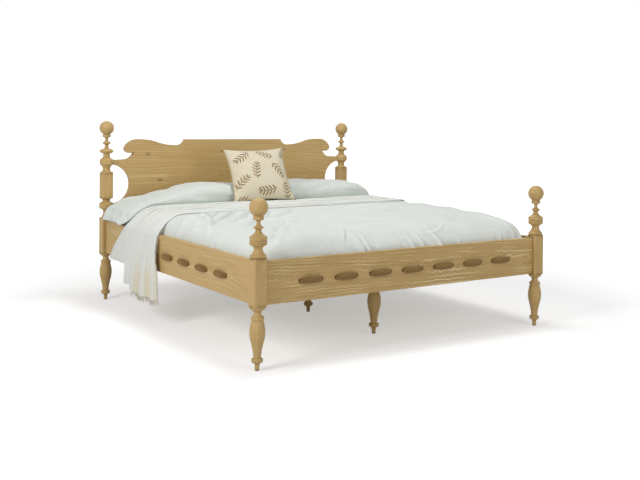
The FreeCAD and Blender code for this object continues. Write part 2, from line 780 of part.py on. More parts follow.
def cushion_section(height, half, thick):
    """Lens across the cushion at one height of its own upright frame."""
    place = lambda across, deep: point(across, deep, height)
    deep = thick / 2
    moves = [
        (0.90 * half, deep * 0.42, 0.62 * half, deep * 0.82), (0.0, deep, -0.62 * half, deep * 0.82),
        (-0.90 * half, deep * 0.42, -half, 0.0),
        (-0.90 * half, -deep * 0.42, -0.62 * half, -deep * 0.82), (0.0, -deep, 0.62 * half, -deep * 0.82),
        (0.90 * half, -deep * 0.42, half, 0.0),
    ]
    return Part.Wire(chain((half, 0.0), moves, place))


def cushion():
    """Square cushion with a crown and drawn-in sides, leaning on the pillows. Rows: share of its
    height, how far the sides are drawn in, share of its thickness."""
    rows = [(0.0, 0.0, 0.05), (0.07, 9.0, 0.40), (0.2, 15.0, 0.76), (0.38, 18.0, 0.97), (0.5, 18.5, 1.0),
            (0.62, 18.0, 0.97), (0.8, 15.0, 0.76), (0.93, 9.0, 0.40), (1.0, 0.0, 0.05)]
    sections = []
    for share, drawn, fullness in rows:
        sections.append(cushion_section(share * cushion_size * cushion_height_share,
                                        cushion_size / 2 - drawn, cushion_thick * fullness))
    pad = Part.makeLoft(sections, True, False)
    pad.rotate(point(0, 0, 0), point(0, 1, 0), cushion_tip)
    pad.rotate(point(0, 0, 0), point(1, 0, 0), -cushion_lean)
    pad.rotate(point(0, 0, 0), UP, cushion_turn)
    pillow_front = rail_in_y - pillow_from_rail - pillow_width
    floor = duvet_crown + throw_seat + throw_fold + throw_thick - cushion_sink
    pad.translate(point(cushion_side, pillow_front - cushion_before_pillows, floor - pad.BoundBox.ZMin))
    return pad


# ---------------------------------------------------------------- assembly
def rod_between(base):
    """Steel rod that joins a finial to its post at the height base."""
    return rod(finial_rod / 2, point(0, 0, base - finial_rod_depth), UP, 2 * finial_rod_depth)


def moved(shape, x, y):
    copy = shape.copy()
    copy.translate(point(x, y, 0))
    return copy


def main():
    os.makedirs("parts", exist_ok=True)
    leg_places = [(0.0, -leg_spacing), (0.0, 0.0), (0.0, leg_spacing)]
    post_places = [(side * post_x, end * post_y) for end in (-1, 1) for side in (-1, 1)]

    # posts
    head_blank = head_post_blank()
    foot_blank = foot_post_blank().cut([rod_between(foot_finial_z), glide_hole()])
    panel = headboard_panel([moved(head_blank, side * post_x, post_y) for side in (-1, 1)])
    head_blank = head_blank.cut([rod_between(head_finial_z), glide_hole()])
    fitting_seats = slot_plate_seat() + slot_plate_screws()
    head_seats = end_tenons()[:1] + fitting_seats + [lug_tenons()[0], lug_tenons()[2]]
    foot_seats = [mirrored_y(shape) for shape in end_tenons()[:1] + fitting_seats]
    head_right = moved(head_blank, post_x, post_y).cut(head_seats)
    foot_right = moved(foot_blank, post_x, -post_y).cut(foot_seats)
    save("head_post_right", head_right)
    save("head_post_left", mirrored_x(head_right))
    save("foot_post_right", foot_right)
    save("foot_post_left", mirrored_x(foot_right))

    # finials
    for name, base, y in (("head", head_finial_z, post_y), ("foot", foot_finial_z, -post_y)):
        turning = finial(base).cut(rod_between(base))
        save("%s_finial_left" % name, moved(turning, -post_x, y))
        save("%s_finial_right" % name, moved(turning, post_x, y))
    rods = []
    for x, y in post_places:
        rods.append(moved(rod_between(head_finial_z if y > 0 else foot_finial_z), x, y))
    save("finial_dowels", rods)

    # headboard and rails
    save("headboard_panel", panel)
    head_rail = end_rail().cut(hanger_screws())
    save("head_rail", head_rail)
    foot_rail = mirrored_y(end_rail()).cut([mirrored_y(shape) for shape in hanger_screws()])
    save("foot_rail", foot_rail.cut(foot_ropes(rope_size / 2 + rope_fit)))
    rail = side_rail()
    plates = [hook_plate(), mirrored_y(hook_plate())]
    pins = hook_pins() + [mirrored_y(pin) for pin in hook_pins()]
    plate_slots = []
    for plate in plates:
        box = plate.BoundBox
        end = block_in_y if box.YMin > 0 else -block_in_y
        inner = end - math.copysign(hook_plate_depth, end)
        plate_slots.append(block(box.XMin, box.XMax, inner, end, box.ZMin, box.ZMax))
    rail = rail.cut(plate_slots + pins + cleat_screws() + side_ropes(rope_size / 2 + rope_fit))
    save("side_rail_right", rail)
    save("side_rail_left", mirrored_x(rail))

    # fittings of the side rails
    save("rail_hook_plates", four_corners([hook_plate()]))
    save("rail_hook_pins", four_corners(hook_pins()))
    save("post_slot_plates", four_corners([slot_plate()]))
    save("slot_plate_screws", four_corners(slot_plate_screws()))

    # ropes
    ropes = side_ropes(rope_size / 2)
    save("foot_rail_ropes", foot_ropes(rope_size / 2))
    save("side_rail_ropes_right", ropes)
    save("side_rail_ropes_left", [mirrored_x(rope) for rope in ropes])

    # deck
    all_slat_screws = slat_screws()
    cleat = block(rail_in_x - cleat_size, rail_in_x, -block_in_y + 3, block_in_y - 3, cleat_bottom, cleat_top)
    cleat = cleat.cut(cleat_screws() + [bolt for bolt in all_slat_screws if bolt.BoundBox.XMin > 100])
    save("slat_cleat_right", cleat)
    save("slat_cleat_left", mirrored_x(cleat))
    save("cleat_screws", cleat_screws() + [mirrored_x(bolt) for bolt in cleat_screws()])
    beam_end = rail_in_y - hanger_thick - 0.5
    beam = block(-beam_width / 2, beam_width / 2, -beam_end, beam_end, beam_bottom, cleat_top)
    leg_bolts = [moved(leg_bolt_solid(), x, y) for x, y in leg_places]
    middle_screws = [bolt for bolt in all_slat_screws if abs(bolt.BoundBox.Center.x) < 1]
    save("centre_beam", beam.cut(leg_bolts + middle_screws))
    save("beam_hanger_head", hanger())
    save("beam_hanger_foot", mirrored_y(hanger()))
    save("hanger_screws", hanger_screws() + [mirrored_y(bolt) for bolt in hanger_screws()])
    leg = centre_leg().cut([leg_bolt_solid(), glide_hole()])
    for name, (x, y) in zip(("foot", "middle", "head"), leg_places):
        save("centre_leg_%s" % name, moved(leg, x, y))
    save("centre_leg_bolts", leg_bolts)
    slat_half = rail_in_x - slat_end_gap
    for index, y in enumerate(slat_places()):
        slat = block(-slat_half, slat_half, y - slat_width / 2, y + slat_width / 2, cleat_top, deck_top)
        own = all_slat_screws[3 * index:3 * index + 3]
        save("slat_%02d" % (index + 1), slat.cut(own))
    save("slat_screws", all_slat_screws)
    save("floor_glides", [moved(glide(), x, y) for x, y in post_places + leg_places])

    # bedding
    save("mattress", mattress_shape(0.0))
    save("duvet", duvet())
    save("throw", throw())
    right_pillow = pillow()
    save("pillow_right", right_pillow)
    save("pillow_left", mirrored_x(right_pillow))
    save("cushion", cushion())


main()
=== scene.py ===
"""Looks of the spindle bed: oak with its grain, twisted rope, and the bedding as cloth."""

import math

import bpy
import numpy as np
from mathutils import Matrix, Vector
from mathutils.bvhtree import BVHTree


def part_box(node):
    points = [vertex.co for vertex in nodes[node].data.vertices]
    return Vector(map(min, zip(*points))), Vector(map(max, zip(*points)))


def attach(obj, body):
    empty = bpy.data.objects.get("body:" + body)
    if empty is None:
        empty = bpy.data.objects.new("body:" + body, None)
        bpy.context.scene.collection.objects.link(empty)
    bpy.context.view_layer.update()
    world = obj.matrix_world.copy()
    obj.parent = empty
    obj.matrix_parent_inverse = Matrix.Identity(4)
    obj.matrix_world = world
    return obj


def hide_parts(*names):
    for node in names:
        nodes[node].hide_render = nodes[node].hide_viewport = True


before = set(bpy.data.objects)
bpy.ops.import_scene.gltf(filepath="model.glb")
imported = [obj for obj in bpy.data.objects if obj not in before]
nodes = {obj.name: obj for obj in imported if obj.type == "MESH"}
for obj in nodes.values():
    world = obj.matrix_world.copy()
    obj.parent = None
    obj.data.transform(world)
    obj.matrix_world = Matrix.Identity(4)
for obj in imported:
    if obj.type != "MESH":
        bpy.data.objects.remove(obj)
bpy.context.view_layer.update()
scene = bpy.context.scene


# ------------ mesh helpers
def set_all(target, **settings):
    for key, value in settings.items():
        setattr(target, key, value)


def new_object(name, data):
    piece = bpy.data.objects.new(name, data)
    scene.collection.objects.link(piece)
    return piece


def new_mesh(name, points, faces):
    mesh = bpy.data.meshes.new(name)
    mesh.from_pydata(np.asarray(points, float).tolist(), [], [list(face) for face in faces])
    mesh.update()
    mesh.shade_smooth()
    return new_object(name, mesh)


def grid_faces(rows, cols, start=0, ring=False, flip=False):
    """Quads of a grid of points stored row by row. With ring, the last column joins the first."""
    faces = []
    for r in range(rows - 1):
        for c in range(cols if ring else cols - 1):
            d = (c + 1) % cols
            quad = [start + r * cols + c, start + r * cols + d,
                    start + (r + 1) * cols + d, start + (r + 1) * cols + c]
            faces.append(quad[::-1] if flip else quad)
    return faces


def lattice(ix, iy, iz, seed):
    """Repeatable numbers from -1 to 1 at whole places."""
    h = (ix * 374761393 + iy * 668265263 + iz * 1274126177 + seed * 974634777) & 0xFFFFFFFF
    h = ((h ^ (h >> 13)) * 1103515245) & 0xFFFFFFFF
    h = ((h ^ (h >> 16)) * 668265263) & 0xFFFFFFFF
    return ((h >> 8) & 0xFFFF) / 32767.5 - 1.0


def soft_noise(points, scale, seed):
    """Smooth noise from -1 to 1 with features 1 / scale metres apart. Scale is one number or three."""
    p = np.asarray(points, float) * scale + 31.7 * seed
    i = np.floor(p).astype(np.int64)
    f = p - i
    u = f * f * f * (f * (f * 6 - 15) + 10)
    total = 0.0
    for dx in (0, 1):
        for dy in (0, 1):
            for dz in (0, 1):
                weight = (abs(1 - dx - u[:, 0]) * abs(1 - dy - u[:, 1]) * abs(1 - dz - u[:, 2]))
                total = total + weight * lattice(i[:, 0] + dx, i[:, 1] + dy, i[:, 2] + dz, seed)
    return total


def smoothstep(x, low, high):
    t = np.clip((x - low) / (high - low), 0, 1)
    return t * t * (3 - 2 * t)


def bump(x, centre, width):
    return np.exp(-((x - centre) / width) ** 2)


def unit(vectors):
    """Vectors, which lie along the last axis, made one long."""
    return vectors / np.maximum(np.linalg.norm(vectors, axis=-1, keepdims=True), 1e-9)


def grid_normals(grid):
    """Unit normals of a grid of points (rows, cols, 3), on the side where the middle one looks up."""
    along = np.gradient(grid, axis=0)
    across = np.gradient(grid, axis=1)
    n = np.cross(across, along)
    if n[n.shape[0] // 2, n.shape[1] // 2, 2] < 0:
        n = -n
    return unit(n)


def distances(line):
    """Distance along a line of points, at each of them."""
    return np.concatenate([[0], np.cumsum(np.linalg.norm(np.diff(line, axis=0), axis=1))])


def resample(line, count, along=None):
    """A line of points again, with count points evenly spaced along it."""
    line = np.asarray(line, float)
    along = distances(line) if along is None else along
    at = np.linspace(0, along[-1], count)
    return np.stack([np.interp(at, along, line[:, k]) for k in range(line.shape[1])], axis=1)


def relaxed(grid, passes):
    """A grid with its inner points moved towards their neighbours' mean."""
    for _ in range(passes):
        inner = (grid[:-2, 1:-1] + grid[2:, 1:-1] + grid[1:-1, :-2] + grid[1:-1, 2:]) / 4
        grid[1:-1, 1:-1] = (grid[1:-1, 1:-1] + inner) / 2
    return grid


def doubled(grid, axes=(0, 1)):
    """A grid with a point added between every two along the given axes, on a smooth curve."""
    for axis in axes:
        g = np.moveaxis(grid, axis, 0)
        before = np.concatenate([g[:1], g[:-2]])
        after = np.concatenate([g[2:], g[-1:]])
        middle = (9 * (g[:-1] + g[1:]) - before - after) / 16
        wide = np.empty((2 * len(g) - 1,) + g.shape[1:])
        wide[::2] = g
        wide[1::2] = middle
        grid = np.moveaxis(wide, 0, axis)
    return grid


def tube(points, radius, sides=8, closed=False):
    """Rings of points round a line, and their faces. Radius may be a list."""
    p = np.asarray(points, float)
    count = len(p)
    if closed:
        tangent = np.roll(p, -1, axis=0) - np.roll(p, 1, axis=0)
    else:
        tangent = np.gradient(p, axis=0)
    tangent = unit(tangent)
    normal = np.cross(tangent[0], [0.0, 0.0, 1.0])
    if np.linalg.norm(normal) < 0.1:
        normal = np.cross(tangent[0], [1.0, 0.0, 0.0])
    normals = []
    for t in tangent:
        normal = unit(normal - t * normal.dot(t))
        normals.append(normal)
    normals = np.array(normals)
    other = np.cross(tangent, normals)
    radius = np.broadcast_to(np.asarray(radius, float), (count,))
    angle = np.linspace(0, 2 * math.pi, sides, endpoint=False)
    ring = (normals[:, None] * np.cos(angle)[None, :, None] + other[:, None] * np.sin(angle)[None, :, None])
    rings = p[:, None] + ring * radius[:, None, None]
    faces = grid_faces(count, sides, ring=True)
    if closed:
        last = (count - 1) * sides
        for c in range(sides):
            d = (c + 1) % sides
            faces.append([last + c, last + d, d, c])
    else:
        faces.append(list(range(sides))[::-1])
        faces.append([(count - 1) * sides + c for c in range(sides)])
    return rings.reshape(-1, 3), faces


class Parts:
    """Collects points and faces of many small shapes for one mesh."""

    def __init__(self):
        self.points = []
        self.faces = []

    def add(self, points, faces):
        start = sum(len(p) for p in self.points)
        self.points.append(np.asarray(points, float))
        self.faces += [[start + i for i in face] for face in faces]

    def mesh(self, name):
        return new_mesh(name, np.concatenate(self.points), self.faces)


def mesh_points(piece):
    co = np.zeros(len(piece.data.vertices) * 3)
    piece.data.vertices.foreach_get("co", co)
    return co.reshape(-1, 3)


def set_points(piece, co):
    piece.data.vertices.foreach_set("co", np.asarray(co, float).ravel())
    piece.data.update()


def mesh_normals(piece):
    n = np.zeros(len(piece.data.vertices) * 3)
    piece.data.vertex_normals.foreach_get("vector", n)
    return n.reshape(-1, 3)


def paint(piece, **layers):
    """Stores a number at each point of a piece, for its material to read."""
    for key, values in layers.items():
        layer = piece.data.attributes.new(key, "FLOAT", "POINT")
        layer.data.foreach_set("value", np.ravel(values).astype(np.float32))


def apply_modifiers(piece):
    evaluated = piece.evaluated_get(bpy.context.evaluated_depsgraph_get())
    mesh = bpy.data.meshes.new_from_object(evaluated)
    piece.modifiers.clear()
    piece.data = mesh
    mesh.shade_smooth()


def simulate(piece, frames, cap, pressure=0.0, grow=0.0, hold=None, stiffness=15.0, bending=0.5):
    """Cloth without gravity. Grow enlarges the cloth by that share, so that it wrinkles. Hold is how
    strongly each point is kept at its place. No point ends further than cap from where it began."""
    start = mesh_points(piece).copy()
    if hold is not None:
        group = piece.vertex_groups.new(name="hold")
        for share in sorted(set(np.round(hold, 2))):
            members = np.nonzero(np.round(hold, 2) == share)[0].tolist()
            group.add(members, float(share), "REPLACE")
    modifier = piece.modifiers.new("cloth", "CLOTH")
    set_all(modifier.settings, quality=5, mass=0.3, tension_stiffness=stiffness,
            compression_stiffness=stiffness, shear_stiffness=stiffness / 3, bending_stiffness=bending,
            air_damping=2.0, shrink_min=-grow)
    modifier.settings.effector_weights.gravity = 0.0
    if pressure:
        set_all(modifier.settings, use_pressure=True, uniform_pressure_force=pressure)
    if hold is not None:
        set_all(modifier.settings, vertex_group_mass="hold", pin_stiffness=1.0)
    set_all(modifier.collision_settings, use_collision=False, use_self_collision=False)
    set_all(modifier.point_cache, frame_start=1, frame_end=frames)
    for number in range(1, frames + 1):
        scene.frame_set(number)
    apply_modifiers(piece)
    scene.frame_set(1)
    move = mesh_points(piece) - start
    length = np.linalg.norm(move, axis=1, keepdims=True)
    set_points(piece, start + move * np.minimum(1.0, cap / np.maximum(length, 1e-9)))


def modified(piece, kind, **settings):
    """Gives a piece a modifier and applies it."""
    set_all(piece.modifiers.new(kind.lower(), kind), **settings)
    apply_modifiers(piece)


def copy_of(node, name):
    """A new piece with the mesh of a CAD node."""
    mesh = nodes[node].data.copy()
    mesh.materials.clear()
    return new_object(name, mesh)


# ------------ material helpers
def srgb(r, g, b):
    """A colour given as 0 to 255, for a shader socket."""
    def linear(v):
        v = v / 255
        return v / 12.92 if v <= 0.04045 else ((v + 0.055) / 1.055) ** 2.4
    return (linear(r), linear(g), linear(b), 1.0)


class Shader:
    """The nodes of a new material, or of the world."""

    def __init__(self, name, world=None):
        self.material = world or bpy.data.materials.new(name)
        self.material.use_nodes = True
        self.tree = self.material.node_tree

    def add(self, kind, inputs=(), **settings):
        node = self.tree.nodes.new("ShaderNode" + kind)
        set_all(node, **settings)
        for key, value in dict(inputs).items():
            self.put(node, key, value)
        return node

    def put(self, node, key, value):
        if isinstance(value, bpy.types.NodeSocket):
            self.tree.links.new(value, node.inputs[key])
        else:
            node.inputs[key].default_value = value

    def math(self, operation, a, b=0.0, c=0.0, clamp=False):
        node = self.add("Math", {0: a, 1: b, 2: c}, operation=operation, use_clamp=clamp)
        return node.outputs[0]

    def times(self, a, b, plus=None, clamp=False):
        """A times b, and plus another value if one is given."""
        if plus is None:
            return self.math("MULTIPLY", a, b, clamp=clamp)
        return self.math("MULTIPLY_ADD", a, b, plus, clamp)

    def vector(self, operation, a, b=(0, 0, 0)):
        node = self.add("VectorMath", {0: a, 1: b}, operation=operation)
        return node.outputs["Value" if operation in ("LENGTH", "DOT_PRODUCT", "DISTANCE") else "Vector"]

    def coordinates(self):
        return self.add("TexCoord").outputs["Object"]

    def scaled(self, vector, scale, rotation=(0, 0, 0)):
        node = self.add("Mapping", {"Vector": vector, "Scale": scale, "Rotation": rotation})
        return node.outputs["Vector"]

    def noise(self, vector, scale, detail=2.0, rough=0.5):
        node = self.add("TexNoise", {"Vector": vector, "Scale": scale, "Detail": detail, "Roughness": rough})
        return node.outputs["Fac"]

    def ramp(self, value, stops):
        """Stops: place and grey level, or place and colour."""
        node = self.add("ValToRGB", {"Fac": value})
        ramp = node.color_ramp
        while len(ramp.elements) < len(stops):
            ramp.elements.new(0.5)
        for element, (place, colour) in zip(ramp.elements, stops):
            element.position = place
            element.color = colour if isinstance(colour, tuple) else (colour, colour, colour, 1.0)
        return node.outputs["Color"]

    def mix(self, factor, a, b, blend="MIX"):
        node = self.add("Mix", {"Factor": factor}, data_type="RGBA", blend_type=blend)
        self.put(node, 6, a)
        self.put(node, 7, b)
        return node.outputs[2]

    def bump(self, height, distance, strength=1.0, normal=None):
        node = self.add("Bump", {"Height": height, "Distance": distance, "Strength": strength})
        if normal is not None:
            self.put(node, "Normal", normal)
        return node.outputs["Normal"]

    def plain_sight(self):
        """1 for a ray from the camera or off a glossy surface, and 0 for the others."""
        ray = self.add("LightPath")
        return self.math("MAXIMUM", ray.outputs["Is Camera Ray"], ray.outputs["Is Glossy Ray"])

    def finish(self, **sockets):
        """Sets the surface's sockets, named with _ for a space, and returns the material."""
        for key, value in sockets.items():
            self.put(self.tree.nodes["Principled BSDF"], key.replace("_", " "), value)
        return self.material


# ------------ timber
GRAIN = {"x": (0, math.pi / 2, 0), "y": (-math.pi / 2, 0, 0), "z": (0, 0, 0)}
OAK_LIGHT = srgb(200, 168, 109)
OAK_MIDDLE = srgb(183, 151, 93)
OAK_DARK = srgb(142, 108, 57)
OAK_LINE = srgb(234, 210, 160)
OAK_KNOT = srgb(112, 78, 42)
# colour of the painted shade in the oak's grooves, at its joints and beside the ropes
OAK_PAINTED_SHADE = srgb(98, 72, 36)


def timber(name, grain, pith, tilt, light, middle, dark, ring=0.0085, figure=1.0, knots=(), rough=0.52,
           ease=0.0022, pale=0.25, jag=0.0):
    """Timber cut from a log. Pith is a point on the log's centre line, which runs along the grain
    but for a tilt in degrees, so that its rings show as arches on the faces. Pale is the strength of
    light lines that follow the rings in places, jag is how far the rings zigzag along the grain, and
    ease is how far the edges look rounded."""
    s = Shader(name)
    place = s.coordinates()
    turn = list(GRAIN[grain])
    first, second = {"x": (1, 2), "y": (0, 2), "z": (0, 1)}[grain]
    turn[first] += math.radians(tilt[0])
    turn[second] += math.radians(tilt[1])
    log = s.add("Mapping", {"Vector": place, "Location": pith, "Rotation": turn}, vector_type="TEXTURE")
    log = log.outputs["Vector"]

    def noise(across, along, detail=2.0, fine=0.5):
        """Noise with this many features a metre across the grain and along it."""
        return s.noise(s.scaled(log, (across, across, along)), 1.0, detail, fine)

    sway = noise(3.2, 0.9)
    wander = noise(22.0, 2.4)
    radius = s.vector("LENGTH", s.vector("MULTIPLY", log, (1.0, 1.0, 0.0)))
    radius = s.times(sway, 0.085, radius)
    radius = s.times(wander, 0.009, radius)
    if jag:
        radius = s.times(noise(20.0, 38.0, 1.0), jag, radius)
    rings = s.math("FRACT", s.math("DIVIDE", radius, ring))
    late = s.ramp(rings, [(0.0, 0.0), (0.55, 0.25), (0.86, 1.0), (1.0, 0.0)])
    wide = s.math("FRACT", s.math("DIVIDE", radius, ring * 4.3))
    wide = s.ramp(wide, [(0.0, 0.1), (0.5, 0.9), (0.8, 0.55), (1.0, 0.1)])
    streak = s.ramp(noise(75.0, 1.6, 3.0, 0.6), [(0.32, 0.0), (0.68, 1.0)])
    cloud = noise(6.0, 1.1)
    pores = s.ramp(noise(1100.0, 26.0, 1.0), [(0.56, 0.0), (0.72, 1.0)])
    flecks = s.ramp(noise(190.0, 12.0, 1.0), [(0.60, 0.0), (0.74, 1.0)])
    tone = s.times(late, 0.40 * figure)
    tone = s.times(wide, 0.22 * figure, tone)
    tone = s.times(streak, 0.34 * figure, tone)
    tone = s.times(cloud, 0.35, tone)
    tone = s.math("SUBTRACT", tone, 0.18)
    colour = s.ramp(tone, [(0.0, light), (0.45, middle), (1.0, dark)])
    line = s.math("FRACT", s.math("DIVIDE", radius, ring * 1.55))
    line = s.ramp(line, [(0.26, 0.0), (0.44, 1.0), (0.52, 1.0), (0.64, 0.0)])
    patch = s.ramp(noise(14.0, 3.4, 1.0), [(0.44, 0.0), (0.62, 1.0)])
    line = s.times(s.times(line, patch), pale)
    colour = s.mix(line, colour, OAK_LINE)
    colour = s.mix(s.times(flecks, 0.22), colour, light)
    colour = s.mix(s.times(pores, 0.34), colour, dark)
    for x, y, z, size in knots:
        away = s.vector("LENGTH", s.vector("MULTIPLY", s.vector("SUBTRACT", place, (x, y, z)),
                                           (0.55, 1.0, 1.0) if grain == "x" else (1.0, 0.55, 1.0)))
        away = s.times(wander, size * 0.8, away)
        spot = s.ramp(s.math("DIVIDE", away, size * 2.4), [(0.30, 1.0), (0.62, 0.35), (1.0, 0.0)])
        colour = s.mix(s.times(spot, 0.75), colour, OAK_KNOT)
    soft = s.add("Bevel", {"Radius": ease}, samples=4).outputs["Normal"]
    hard = s.add("NewGeometry").outputs["Normal"]
    # Rounded edges lighten towards the light oak: partly edge wear, partly a painted highlight.
    edge = s.math("SUBTRACT", 1.0, s.vector("DOT_PRODUCT", soft, hard), clamp=True)
    edge = s.times(edge, 1.6, clamp=True)
    colour = s.mix(edge, colour, light)
    # Painted shade: the oak darkens where ambient occlusion finds little open space, in grooves, at joints
    # and beside the ropes.
    open_sky = s.add("AmbientOcclusion", {"Distance": 0.014}, samples=6).outputs["AO"]
    colour = s.mix(s.times(s.math("SUBTRACT", 1.0, open_sky), 0.55), colour, OAK_PAINTED_SHADE)
    relief = s.math("ADD", pores, s.times(late, 0.35))
    normal = s.bump(relief, -0.0004, 0.5, soft)
    roughness = s.times(pores, 0.18, s.times(streak, 0.08, rough - 0.04))
    return s.finish(Base_Color=colour, Roughness=roughness, Normal=normal)


def oak(name, grain, pith, tilt=(2.0, 1.5), **more):
    return timber(name, grain, pith, tilt, OAK_LIGHT, OAK_MIDDLE, OAK_DARK, **more)


def pine(name, grain, pith, tilt=(1.2, 0.8)):
    return timber(name, grain, pith, tilt, srgb(233, 213, 170), srgb(220, 194, 144), srgb(190, 150, 96),
                  ring=0.006, figure=0.8, rough=0.6)


# ------------ cloth and small materials
def cloth(name, colour, shade, thread=0.0009, crease=0.0012, crease_scale=38.0, print_and_shade_colours=None):
    """Woven cloth: crossing threads, slubs and small creases, and a laid-on colour where it has one: printed
    figures, and on the throw a cream tone with painted fold shade.
    """
    s = Shader(name)
    place = s.coordinates()
    waves = []
    for axis in range(3):
        part = s.add("SeparateXYZ", {"Vector": place}).outputs[axis]
        waves.append(s.math("ABSOLUTE", s.math("SINE", s.times(part, math.pi / thread))))
    weave = s.times(s.math("ADD", waves[0], waves[1]), s.math("ADD", waves[2], 0.6))
    slub = s.noise(s.scaled(place, (420.0, 60.0, 300.0)), 1.0, 2.0)
    mottle = s.noise(place, 9.0, 3.0, 0.6)
    ruck = s.noise(s.scaled(place, (1.0, 1.6, 1.3)), crease_scale, 3.0, 0.55)
    mixed = s.ramp(mottle, [(0.3, 0.0), (0.7, 1.0)])
    tint = s.mix(s.times(mixed, 0.5), colour, shade)
    tint = s.mix(s.times(slub, 0.18), tint, shade)
    if print_and_shade_colours:
        # Laid-on colour: printed figures, and on the throw a cream tone with painted shade in its fold
        # valleys.
        ink = s.add("Attribute", attribute_name="ink").outputs["Fac"]
        tip = s.add("Attribute", attribute_name="ink_shade").outputs["Fac"]
        patchy = s.noise(place, 160.0, 2.0)
        ink_colour = s.mix(tip, print_and_shade_colours[0], print_and_shade_colours[1])
        ink = s.times(ink, s.times(patchy, 0.3, 0.84), clamp=True)
        tint = s.mix(ink, tint, ink_colour)
    normal = s.bump(ruck, crease, 0.7)
    normal = s.bump(weave, 0.00018, 0.35, normal)
    return s.finish(Base_Color=tint, Roughness=0.92, Normal=normal, Sheen_Weight=0.25,
                    Sheen_Roughness=0.5, Specular_IOR_Level=0.25)


def metal(name, colour):
    s = Shader(name)
    place = s.coordinates()
    spangle = s.add("TexVoronoi", {"Vector": place, "Scale": 240.0}).outputs["Color"]
    spangle = s.times(s.add("SeparateXYZ", {"Vector": spangle}).outputs[0], 0.35)
    brushed = s.noise(s.scaled(place, (900.0, 60.0, 900.0)), 1.0, 1.0)
    tint = s.mix(spangle, colour, srgb(205, 208, 206))
    rough = s.times(brushed, 0.2, 0.28)
    normal = s.bump(brushed, 0.0001, 0.3)
    return s.finish(Base_Color=tint, Metallic=1.0, Roughness=rough, Normal=normal)


def moulded(name, colour):
    s = Shader(name)
    grain = s.noise(s.coordinates(), 700.0, 2.0)
    tint = s.mix(grain, colour, srgb(84, 80, 74))
    return s.finish(Base_Color=tint, Roughness=0.6, Normal=s.bump(grain, 0.0001, 0.4))


def jute(name):
    s = Shader(name)
    place = s.coordinates()
    fibre = s.noise(s.scaled(place, (260.0, 260.0, 900.0), (0.5, 0.4, 0.6)), 1.0, 3.0, 0.7)
    coarse = s.noise(place, 90.0, 2.0)
    tint = s.ramp(fibre, [(0.25, srgb(112, 84, 42)), (0.5, srgb(150, 118, 66)), (0.8, srgb(194, 162, 104))])
    tint = s.mix(s.times(coarse, 0.25), tint, srgb(116, 88, 44))
    # Painted shade: the rope darkens to a deep brown where ambient occlusion finds little open space, between
    # its strands and at the rail.
    open_sky = s.add("AmbientOcclusion", {"Distance": 0.009}, samples=8).outputs["AO"]
    tint = s.mix(s.math("SUBTRACT", 1.0, open_sky), tint, srgb(52, 34, 14))
    normal = s.bump(fibre, 0.0008, 0.8)
    return s.finish(Base_Color=tint, Roughness=0.95, Normal=normal, Sheen_Weight=0.2, Specular_IOR_Level=0.2)


def dress(piece, material):
    piece.data.materials.clear()
    piece.data.materials.append(material)


def fit(piece, material, body, node=None):
    """Gives a piece its material and the body it moves with, and the CAD node it replaces."""
    dress(piece, material)
    if node:
        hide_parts(node)
    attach(piece, body)


# ------------ timber and fittings keep their CAD shapes
POST_X = 0.923
POST_Y = 1.050
LEG_Y = 0.711
turned_places = {}
for kind in ("post", "finial"):
    for end, end_y in (("head", POST_Y), ("foot", -POST_Y)):
        for side, side_x in (("left", -POST_X), ("right", POST_X)):
            turned_places["%s_%s_%s" % (end, kind, side)] = (side_x, end_y)
for end, end_y in (("foot", -LEG_Y), ("middle", 0.0), ("head", LEG_Y)):
    turned_places["centre_leg_" + end] = (0.0, end_y)
HEADBOARD_KNOTS = ((-0.643, 1.036, 0.955, 0.007), (-0.556, 1.036, 0.777, 0.008), (0.34, 1.036, 0.70, 0.006))
PITH_AWAY = 0.075       # from a turned piece's axis
for index, (node, (x, y)) in enumerate(turned_places.items()):
    angle = 0.9 + 2.1 * index
    pith = (x + PITH_AWAY * math.cos(angle), y + PITH_AWAY * math.sin(angle), 0.3)
    dress(nodes[node], oak("oak_" + node, "z", pith, (1.6 + 0.3 * (index % 3), 1.1 - 0.4 * (index % 4)),
                           figure=0.6, ease=0.0012))
# grain direction, pith, tilt, figure, strength of the pale lines, zigzag, knots (x, y, z, size)
boards = {
    "foot_rail": ("x", (0.15, -1.018, 0.420), (1.5, 2.1), 0.80, 1.00, 0.016, ()),
    "side_rail_left": ("y", (-0.872, -0.2, 0.43), (1.3, -2.0), 0.5, 0.25, 0.0, ()),
    "side_rail_right": ("y", (0.872, 0.1, 0.40), (-1.4, 1.8), 0.5, 0.25, 0.0, ()),
    "head_rail": ("x", (0.1, 1.10, 0.42), (1.2, 1.6), 0.6, 0.25, 0.0, ()),
    "headboard_panel": ("x", (-0.2, 0.955, 0.80), (1.4, -1.9), 0.6, 0.35, 0.0, HEADBOARD_KNOTS),
}
for node, (grain, pith, tilt, figure, pale, jag, knots) in boards.items():
    dress(nodes[node], oak("oak_" + node, grain, pith, tilt, figure=figure, knots=knots, ring=0.0105,
                           pale=pale, jag=jag))
for index, node in enumerate(sorted(n for n in nodes if n.startswith("slat_") and n[-1].isdigit())):
    low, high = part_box(node)
    centre = (low + high) / 2
    pith = (0.0, centre.y + 0.03 * math.sin(index * 2.3), centre.z - 0.05 - 0.02 * math.cos(index * 1.7))
    dress(nodes[node], pine("pine_" + node, "x", pith, (1.0 + 0.2 * (index % 5), 0.6)))
for node, pith in (("slat_cleat_left", (-0.86, 0.0, 0.30)), ("slat_cleat_right", (0.86, 0.0, 0.30)),
                   ("centre_beam", (0.03, 0.0, 0.27))):
    dress(nodes[node], pine("pine_" + node, "y", pith))
zinc = metal("zinc", srgb(176, 178, 174))
for node in ("rail_hook_plates", "rail_hook_pins", "post_slot_plates", "beam_hanger_head",
             "beam_hanger_foot"):
    dress(nodes[node], zinc)
bright = metal("bright_zinc", srgb(196, 196, 188))
